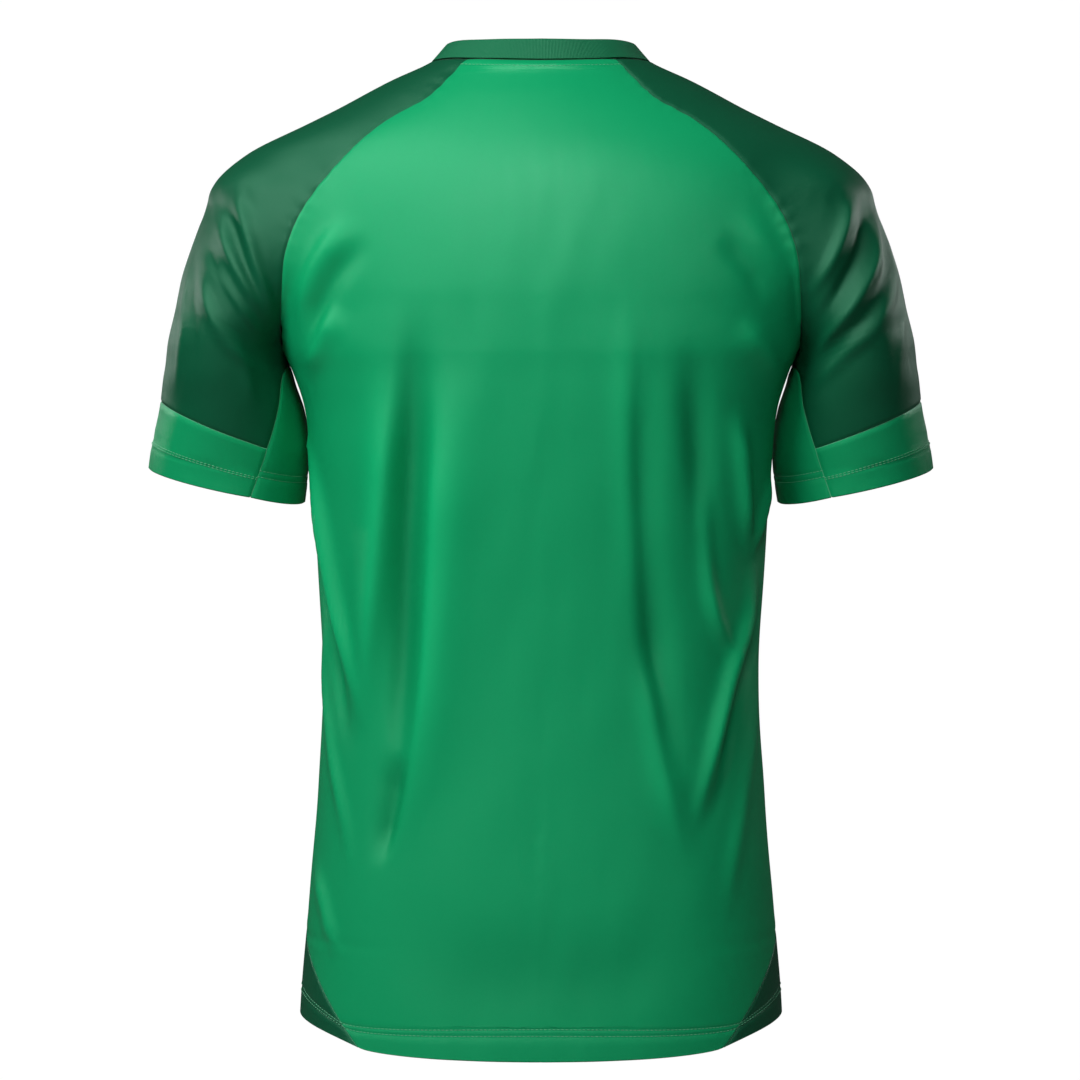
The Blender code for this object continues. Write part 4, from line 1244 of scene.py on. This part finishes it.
def thread_material(name, tint):
    material, tree, shader = start_material(name, {"Specular IOR Level": 0.5, "Sheen Weight": 0.2})
    places = add_node(tree, "ShaderNodeTexCoord")
    ply = place_group(tree, shared_group("Thread Ply", thread_ply), Vector=places.outputs["Object"])
    # The ply's twist also paints a glint on each ply's crest and shade between the plies into the thread's
    # colour.
    tone = place_group(tree, shared_group("Cloth Tone and Shade", cloth_tone_and_shade), Color=(*tint, 1),
                       Vector=places.outputs["Object"], Loops=ply.outputs["Height"],
                       Roughness=THREAD_ROUGHNESS)
    cover(tree, shader, tone, ply.outputs["Height"], 0.4, THREAD_RELIEF)
    return material


def green_knit():
    scene = bpy.context.scene
    return knit_material("green_knit", scene.jersey_colours.green, scene.jersey_sizes.wale,
                         scene.jersey_sizes.course, GREEN_ROUGHNESS)


def dark_knit():
    scene = bpy.context.scene
    return knit_material("dark_knit", scene.jersey_colours.dark, scene.jersey_sizes.wale,
                         scene.jersey_sizes.course, DARK_ROUGHNESS)


def collar_rib():
    scene = bpy.context.scene
    return knit_material("collar_rib", scene.jersey_colours.rib, RIB_WALE * scene.jersey_sizes.wale,
                         RIB_COURSE * scene.jersey_sizes.course, RIB_ROUGHNESS, RIB_RELIEF)


def light_thread():
    return thread_material("light_thread", bpy.context.scene.jersey_colours.light_thread)


def dark_thread():
    return thread_material("dark_thread", bpy.context.scene.jersey_colours.dark_thread)


# ---- operators --------------------------------------------------------------------------

def hem(sizes):
    return Border("hem", sizes.hem_depth / MM, sizes.needle_gap / MM)


def cuff_hem(sizes):
    return Border("hem", sizes.cuff_hem_depth / MM, sizes.needle_gap / MM)


def each_side():
    """The name's ending and whether the piece is mirrored, for the two sleeves."""
    return (("_left", False), ("_right", True))


class MakeBody(bpy.types.Operator):
    """Make the back and the front panel"""
    bl_idname = "jersey.body"
    bl_label = "Back and Front"

    def execute(self, context):
        sizes = context.scene.jersey_sizes
        panel("back_panel", body_grid(1), hem(sizes), Border("neck", NECK_BAND, 0),
              green_knit())
        panel("front_panel", body_grid(-1), hem(sizes), SEAM, green_knit())
        return {"FINISHED"}


class MakeInserts(bpy.types.Operator):
    """Make the dark triangles let into the sides of the hem"""
    bl_idname = "jersey.inserts"
    bl_label = "Side Inserts"

    def execute(self, context):
        for ending, mirror in each_side():
            panel("side_insert" + ending, insert_grid(), hem(context.scene.jersey_sizes), SEAM,
                  dark_knit(), mirror)
        return {"FINISHED"}


class MakeSleeves(bpy.types.Operator):
    """Make the two raglan sleeves down to their cuff seams"""
    bl_idname = "jersey.sleeves"
    bl_label = "Sleeves"

    def execute(self, context):
        for ending, mirror in each_side():
            panel("sleeve" + ending, sleeve_grid(), SEAM, SEAM, dark_knit(), mirror)
        return {"FINISHED"}


class MakeCuffs(bpy.types.Operator):
    """Make the cuff bands and the under-sleeve panels"""
    bl_idname = "jersey.cuffs"
    bl_label = "Cuffs and Under-sleeves"

    def execute(self, context):
        for ending, mirror in each_side():
            for node, grid in (("cuff_band", cuff_grid()), ("under_sleeve", under_grid())):
                panel(node + ending, grid, cuff_hem(context.scene.jersey_sizes), SEAM,
                      green_knit(), mirror)
        return {"FINISHED"}


COLLAR_BEND = 0.78        # half the width of its fold, in layers
COLLAR_LIFT = 0.5         # how far it starts above the seam
COLLAR_TUCK = 1.3         # how far inside the seam it stands, in layers
COLLAR_EASE = 0.2         # and how much of that it gives back
COLLAR_UPRIGHT_CURVE = 0.6
COLLAR_WAVES = ((0.22, 13.0, 0), (0.15, 7.1, 2))    # depth, length and phase


def folded_section(height, layer):
    """The collar's section: a strip folded double over its top edge. For each point,
    its offset outwards, its rise, and the way out of the cloth there."""
    half = COLLAR_BEND * layer
    straight = np.linspace(0, height - half - layer / 2, 7)
    points = [(half, rise, 1.0, 0.0) for rise in straight]
    for turn in np.linspace(0, math.pi, 9)[1:-1]:
        side, top = math.cos(turn), math.sin(turn)
        points.append((half * side, straight[-1] + half * top, side, top))
    points += [(-half, rise, -1.0, 0.0) for rise in straight[::-1]]
    data = np.array(points)
    line, way = data[:, :2], data[:, 2:]
    return np.vstack([line + way * layer / 2, (line - way * layer / 2)[::-1]])


def wrap_map(mesh, around):
    """Run the map on over the faces that close a ring, not back across it."""
    corners = mesh.uv_layers["cloth"].data
    flat = np.empty(2 * len(corners), dtype=np.float32)
    corners.foreach_get("uv", flat)
    faces = flat.reshape(-1, 4, 2)
    wrapped = np.ptp(faces[..., 0], axis=1) > around / 2
    faces[wrapped, :, 0] += np.where(faces[wrapped, :, 0] < around / 2, around, 0)
    corners.foreach_set("uv", faces.ravel())


def collar_mesh(name, sizes):
    """The collar as a closed ring, with the length and the width of its flat strip."""
    angles = np.linspace(0, 360, COLLAR_STEPS, endpoint=False)
    turn = np.radians(angles)
    seam = neck_points(angles)
    upright = np.where(turn < math.pi, 1 - (1 - np.maximum(np.sin(turn), 0))**COLLAR_UPRIGHT_CURVE, 0)
    lean = np.radians(COLLAR_LEAN + (COLLAR_BACK_LEAN - COLLAR_LEAN) * upright)
    inward = -np.column_stack([np.cos(turn), np.sin(turn), 0 * turn])
    up = inward * np.sin(lean)[:, None] + np.cos(lean)[:, None] * (0, 0, 1)
    out = -inward * up[:, 2:] + (up * inward).sum(1)[:, None] * (0, 0, 1)
    ring = runs(np.vstack([seam, seam[:1]]))
    layer = sizes.rib / MM
    section = folded_section(sizes.collar_height / MM, layer)
    loose = sum(depth * np.sin(ring[:-1] / run + start) for depth, run, start in COLLAR_WAVES)
    base = seam + up * COLLAR_LIFT - out * (COLLAR_TUCK * layer - COLLAR_EASE - loose)[:, None]
    points = base[:, None] + out[:, None] * section[None, :, :1] + up[:, None] * section[None, :, 1:]
    count, deep = points.shape[:2]
    index = np.arange(count * deep).reshape(count, deep)
    index = np.vstack([index, index[:1]])
    index = np.hstack([index, index[:, :1]])
    mesh = bpy.data.meshes.new(name)
    mesh.from_pydata((points.reshape(-1, 3) * MM).tolist(), [], grid_quads(index).tolist())
    along = np.repeat(ring[:-1, None], deep, axis=1)
    up_section = np.repeat(section[None, :, 1], count, axis=0)
    finish_mesh(mesh, np.stack([along, up_section], axis=2).reshape(-1, 2) * MM, np.zeros(count * deep))
    around = ring[-1] * MM
    wrap_map(mesh, around)
    return mesh, around, float(runs(section[:len(section) // 2])[-1]) * MM


class MakeCollar(bpy.types.Operator):
    """Make the collar, a strip of rib folded double round the neck"""
    bl_idname = "jersey.collar"
    bl_label = "Collar"

    def execute(self, context):
        name = "collar_rib_band"
        clear(name)
        mesh, around, deep = collar_mesh(name, context.scene.jersey_sizes)
        piece = link(name, mesh, collar_rib())
        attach(piece, BODY)
        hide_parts("collar")
        return {"FINISHED"}


def skin_of(node):
    if node not in SKINS:
        raise RuntimeError(f"{node} has to be made before it is sewn")
    return SKINS[node]


def column_seam(node, column, above=-1e9, below=1e9):
    """The seam along a panel's first or last column, between two heights."""
    skin = skin_of(node)
    beside = 1 if column == 0 else -2
    keep = (skin.outer[:, column, 2] >= above) & (skin.outer[:, column, 2] <= below)
    way = unit(skin.outer[:, beside] - skin.outer[:, column])
    return skin.outer[keep, column], skin.normals[keep, column], way[keep]


def row_seam(node, row):
    """The seam along a panel's first or last row."""
    skin = skin_of(node)
    beside = 1 if row == 0 else -2
    return skin.outer[row], skin.normals[row], unit(skin.outer[beside] - skin.outer[row])


def all_seams():
    """The seams of dark cloth and those that show a paler thread."""
    dark, light = [], []
    for ending, column in (("_left", 0), ("_right", -1)):
        dark += [column_seam("sleeve" + ending, side, above=UNDERARM[2]) for side in (0, -1)]
        dark.append(row_seam("sleeve" + ending, 0))
        light += [column_seam("under_sleeve" + ending, side) for side in (0, -1)]
        light.append(row_seam("cuff_band" + ending, -1))
        light.append(column_seam("back_panel", column, below=UNDERARM[2]))
        light.append(column_seam("front_panel", column, below=INSERT_TOP))
    dark += [row_seam("back_panel", -1), row_seam("front_panel", -1)]
    return dark, light


def overlock_line(seam, depth):
    """A thread that zigzags over a seam's edges on the inside of the jersey."""
    points, normals, way = seam
    run = runs(points)
    count = max(int(run[-1] / OVERLOCK_PITCH), 4)
    wanted = np.linspace(0, run[-1], count)
    place, out, aside = [at_distances(data, run, wanted) for data in (points, normals, way)]
    reach = np.where(np.arange(count) % 2, OVERLOCK_REACH, -OVERLOCK_REACH)[:, None]
    return place - out * depth + unit(aside) * reach


class SewSeams(bpy.types.Operator):
    """Sew the panels together: overlocked edges inside each seam and the thread over them"""
    bl_idname = "jersey.seams"
    bl_label = "Seams"

    def execute(self, context):
        sizes = context.scene.jersey_sizes
        radius = sizes.seam_cord / 2 / MM
        tree = cord_tree()
        for name, seams, material, slot in zip(("armhole_seams", "side_and_cuff_seams"), all_seams(),
                                               (dark_thread(), light_thread()), ("dark_knit", "green_knit")):
            cords = [points - normals * (radius - CORD_SHOWING) for points, normals, _ in seams]
            piece = sewn(name, cords, tree, Radius=radius * MM, Sides=CORD_SIDES, Material=material)
            threads = [overlock_line(seam, sizes.cloth / MM + OVERLOCK_DEPTH) for seam in seams]
            piece = sewn(name + "_overlock", threads, tree, Radius=sizes.thread / 2,
                         Sides=THREAD_SIDES, Material=material)
        return {"FINISHED"}


def stitch_line(node, distance, lift, from_end=False):
    """The line over a panel at a set distance from its first or last row."""
    skin = skin_of(node)
    run = skin.end if from_end else skin.start
    row = np.abs(run.mean(axis=1) - distance).argmin()
    return skin.outer[row, 1:-1] + skin.normals[row, 1:-1] * lift


class SewStitches(bpy.types.Operator):
    """Sew the twin stitch lines of the hems and the line under the collar"""
    bl_idname = "jersey.stitches"
    bl_label = "Stitches"

    def execute(self, context):
        sizes = context.scene.jersey_sizes
        tree = stitch_tree()
        lift = STITCH_RISE * sizes.thread / MM
        body = ["back_panel", "front_panel", "side_insert_left", "side_insert_right"]
        arms = [part + ending for part in ("cuff_band", "under_sleeve") for ending in ("_left", "_right")]
        rows = {
            "hem_stitches": (body, sizes.hem_depth), "cuff_stitches": (arms, sizes.cuff_hem_depth),
        }
        for seed, (name, (nodes, depth)) in enumerate(rows.items()):
            lines = [stitch_line(node, down / MM, lift) for node in nodes
                     for down in (depth, depth - sizes.needle_gap)]
            self.sew(name, lines, tree, sizes, seed)
        self.sew("neck_stitches", [stitch_line("back_panel", NECK_BAND, lift, from_end=True)], tree, sizes, 2)
        return {"FINISHED"}

    def sew(self, name, lines, tree, sizes, seed):
        piece = sewn(name, lines, tree, Pitch=sizes.stitch, Length=STITCH_SHARE * sizes.stitch,
                     Thickness=sizes.thread, Slant=STITCH_SLANT, Seed=seed, Material=light_thread())


# ---- the studio -------------------------------------------------------------------------

CAMERA = (0.00076, 2.5, -0.362)
LENS = 109.65
FLOOR_HEIGHT = -1.15
BACKDROP = (-4.5, 6.0, 5.0)     # where the floor turns up, how wide it is, how high it goes
FLOOR_FRONT = 5.0
SWEEP_RADIUS = 1.5
FLOOR_GLOW = 1.05               # how bright the floor looks to the camera
FLOOR_GLOW_SHARE = 0.96         # and how much of its look that is
RIM_SHARE_LEFT = 0.45           # the rim lights' shares of the power that is set
RIM_SHARE_RIGHT = 0.6

Lamp = namedtuple("Lamp", "name place aim size power")


def studio_lamps(studio):
    return (
        Lamp("key_light", (1.15, 1.4, 1.2), (0.05, 0, -0.2), 1.2, studio.key),
        Lamp("fill_light", (-0.1, 1.95, 0.75), (0, 0, -0.2), 0.6, studio.fill),
        Lamp("rim_light_left", (1.4, -1.1, 0.1), (0.2, 0, -0.3), 0.3,
             RIM_SHARE_LEFT * studio.rim),
        Lamp("rim_light_right", (-1.4, -0.9, 0.25), (-0.22, 0, -0.2), 0.3,
             RIM_SHARE_RIGHT * studio.rim),
    )


def floor_mesh(name):
    """A floor that turns up into a backdrop in one round sweep."""
    back, half_width, height = BACKDROP
    outline = [(FLOOR_FRONT, FLOOR_HEIGHT)]
    for turn in np.linspace(0, math.pi / 2, 25):
        rise = SWEEP_RADIUS * (1 - math.cos(turn))
        outline.append((back - SWEEP_RADIUS * math.sin(turn), FLOOR_HEIGHT + rise))
    outline.append((back - SWEEP_RADIUS, height))
    verts = [(side * half_width, y, z) for y, z in outline for side in (-1, 1)]
    faces = [(2 * i, 2 * i + 1, 2 * i + 3, 2 * i + 2) for i in range(len(outline) - 1)]
    mesh = bpy.data.meshes.new(name)
    mesh.from_pydata(verts, [], faces)
    mesh.shade_smooth()
    return mesh


def floor_material():
    """Plain floor that the camera sees as white, and that the jersey hardly reflects."""
    material, tree, shader = start_material("studio_floor", {"Roughness": 0.9})
    places = add_node(tree, "ShaderNodeTexCoord")
    tone = place_group(tree, shared_group("Cloth Tone and Shade", cloth_tone_and_shade), Vector=places.outputs["Object"],
                       Color=(*bpy.context.scene.jersey_colours.floor, 1), Uneven=0.01)
    tree.links.new(tone.outputs["Color"], shader.inputs["Base Color"])
    seen = add_node(tree, "ShaderNodeLightPath").outputs["Is Camera Ray"]
    white = add_node(tree, "ShaderNodeEmission", {"Color": (1, 1, 1, 1), "Strength": FLOOR_GLOW})
    lit = add_node(tree, "ShaderNodeMixShader", {0: reckon(tree, "MULTIPLY", seen, FLOOR_GLOW_SHARE)})
    tree.links.new(shader.outputs["BSDF"], lit.inputs[1])
    tree.links.new(white.outputs["Emission"], lit.inputs[2])
    output = next(node for node in tree.nodes if node.type == "OUTPUT_MATERIAL")
    tree.links.new(lit.outputs["Shader"], output.inputs["Surface"])
    return material


class BuildStudio(bpy.types.Operator):
    """Set up the floor, the lights and the camera, level with the jersey's back"""
    bl_idname = "jersey.studio"
    bl_label = "Studio"

    def execute(self, context):
        scene = context.scene
        clear("floor", "camera")
        link("floor", floor_mesh("floor"), floor_material())
        for lamp in studio_lamps(scene.jersey_studio):
            clear(lamp.name)
            light = bpy.data.lights.new(lamp.name, "AREA")
            light.shape = "DISK"
            light.size = lamp.size
            light.energy = lamp.power
            obj = link(lamp.name, light)
            obj.location = lamp.place
            obj.rotation_euler = (Vector(lamp.aim) - obj.location).to_track_quat("-Z", "Y").to_euler()
        camera = bpy.data.cameras.new("camera")
        camera.lens = LENS
        view = link("camera", camera)
        view.location = CAMERA
        view.rotation_euler = (math.pi / 2, 0, math.pi)
        scene.camera = view
        world = scene.world or bpy.data.worlds.new("studio")
        scene.world = world
        world.use_nodes = True
        sky = world.node_tree.nodes["Background"]
        sky.inputs["Color"].default_value = (1, 1, 1, 1)
        seen = add_node(world.node_tree, "ShaderNodeLightPath").outputs["Is Camera Ray"]
        strength = reckon(world.node_tree, "MAXIMUM", seen, scene.jersey_studio.sky)
        world.node_tree.links.new(strength, sky.inputs["Strength"])
        scene.view_settings.view_transform = "Standard"
        return {"FINISHED"}


# ---- the add-on -------------------------------------------------------------------------

GROUPS = {"jersey_sizes": JerseySizes, "jersey_drape": JerseyDrape, "jersey_colours": JerseyColours,
          "jersey_studio": JerseyStudio}
OPERATORS = (MakeBody, MakeInserts, MakeSleeves, MakeCuffs, MakeCollar, SewSeams, SewStitches, BuildStudio)


class JerseyPanel(bpy.types.Panel):
    """The jersey's operators in order, and its settings"""
    bl_idname = "VIEW3D_PT_jersey"
    bl_label = "Football Jersey"
    bl_space_type = "VIEW_3D"
    bl_region_type = "UI"
    bl_category = "Jersey"

    def draw(self, context):
        layout = self.layout
        for operator in OPERATORS:
            layout.operator(operator.bl_idname)
        for attribute, group in GROUPS.items():
            box = layout.box()
            for prop in group.__annotations__:
                box.prop(getattr(context.scene, attribute), prop)


def register():
    for attribute, group in GROUPS.items():
        bpy.utils.register_class(group)
        setattr(bpy.types.Scene, attribute, bpy.props.PointerProperty(type=group))
    for operator in OPERATORS:
        bpy.utils.register_class(operator)
    bpy.utils.register_class(JerseyPanel)


def unregister():
    bpy.utils.unregister_class(JerseyPanel)
    for operator in reversed(OPERATORS):
        bpy.utils.unregister_class(operator)
    for attribute, group in GROUPS.items():
        delattr(bpy.types.Scene, attribute)
        bpy.utils.unregister_class(group)


def main():
    register()
    bpy.ops.jersey.body()
    bpy.ops.jersey.inserts()
    bpy.ops.jersey.sleeves()
    bpy.ops.jersey.cuffs()
    bpy.ops.jersey.collar()
    bpy.ops.jersey.seams()
    bpy.ops.jersey.stitches()
    bpy.ops.jersey.studio()


if __name__ == "__main__":
    main()
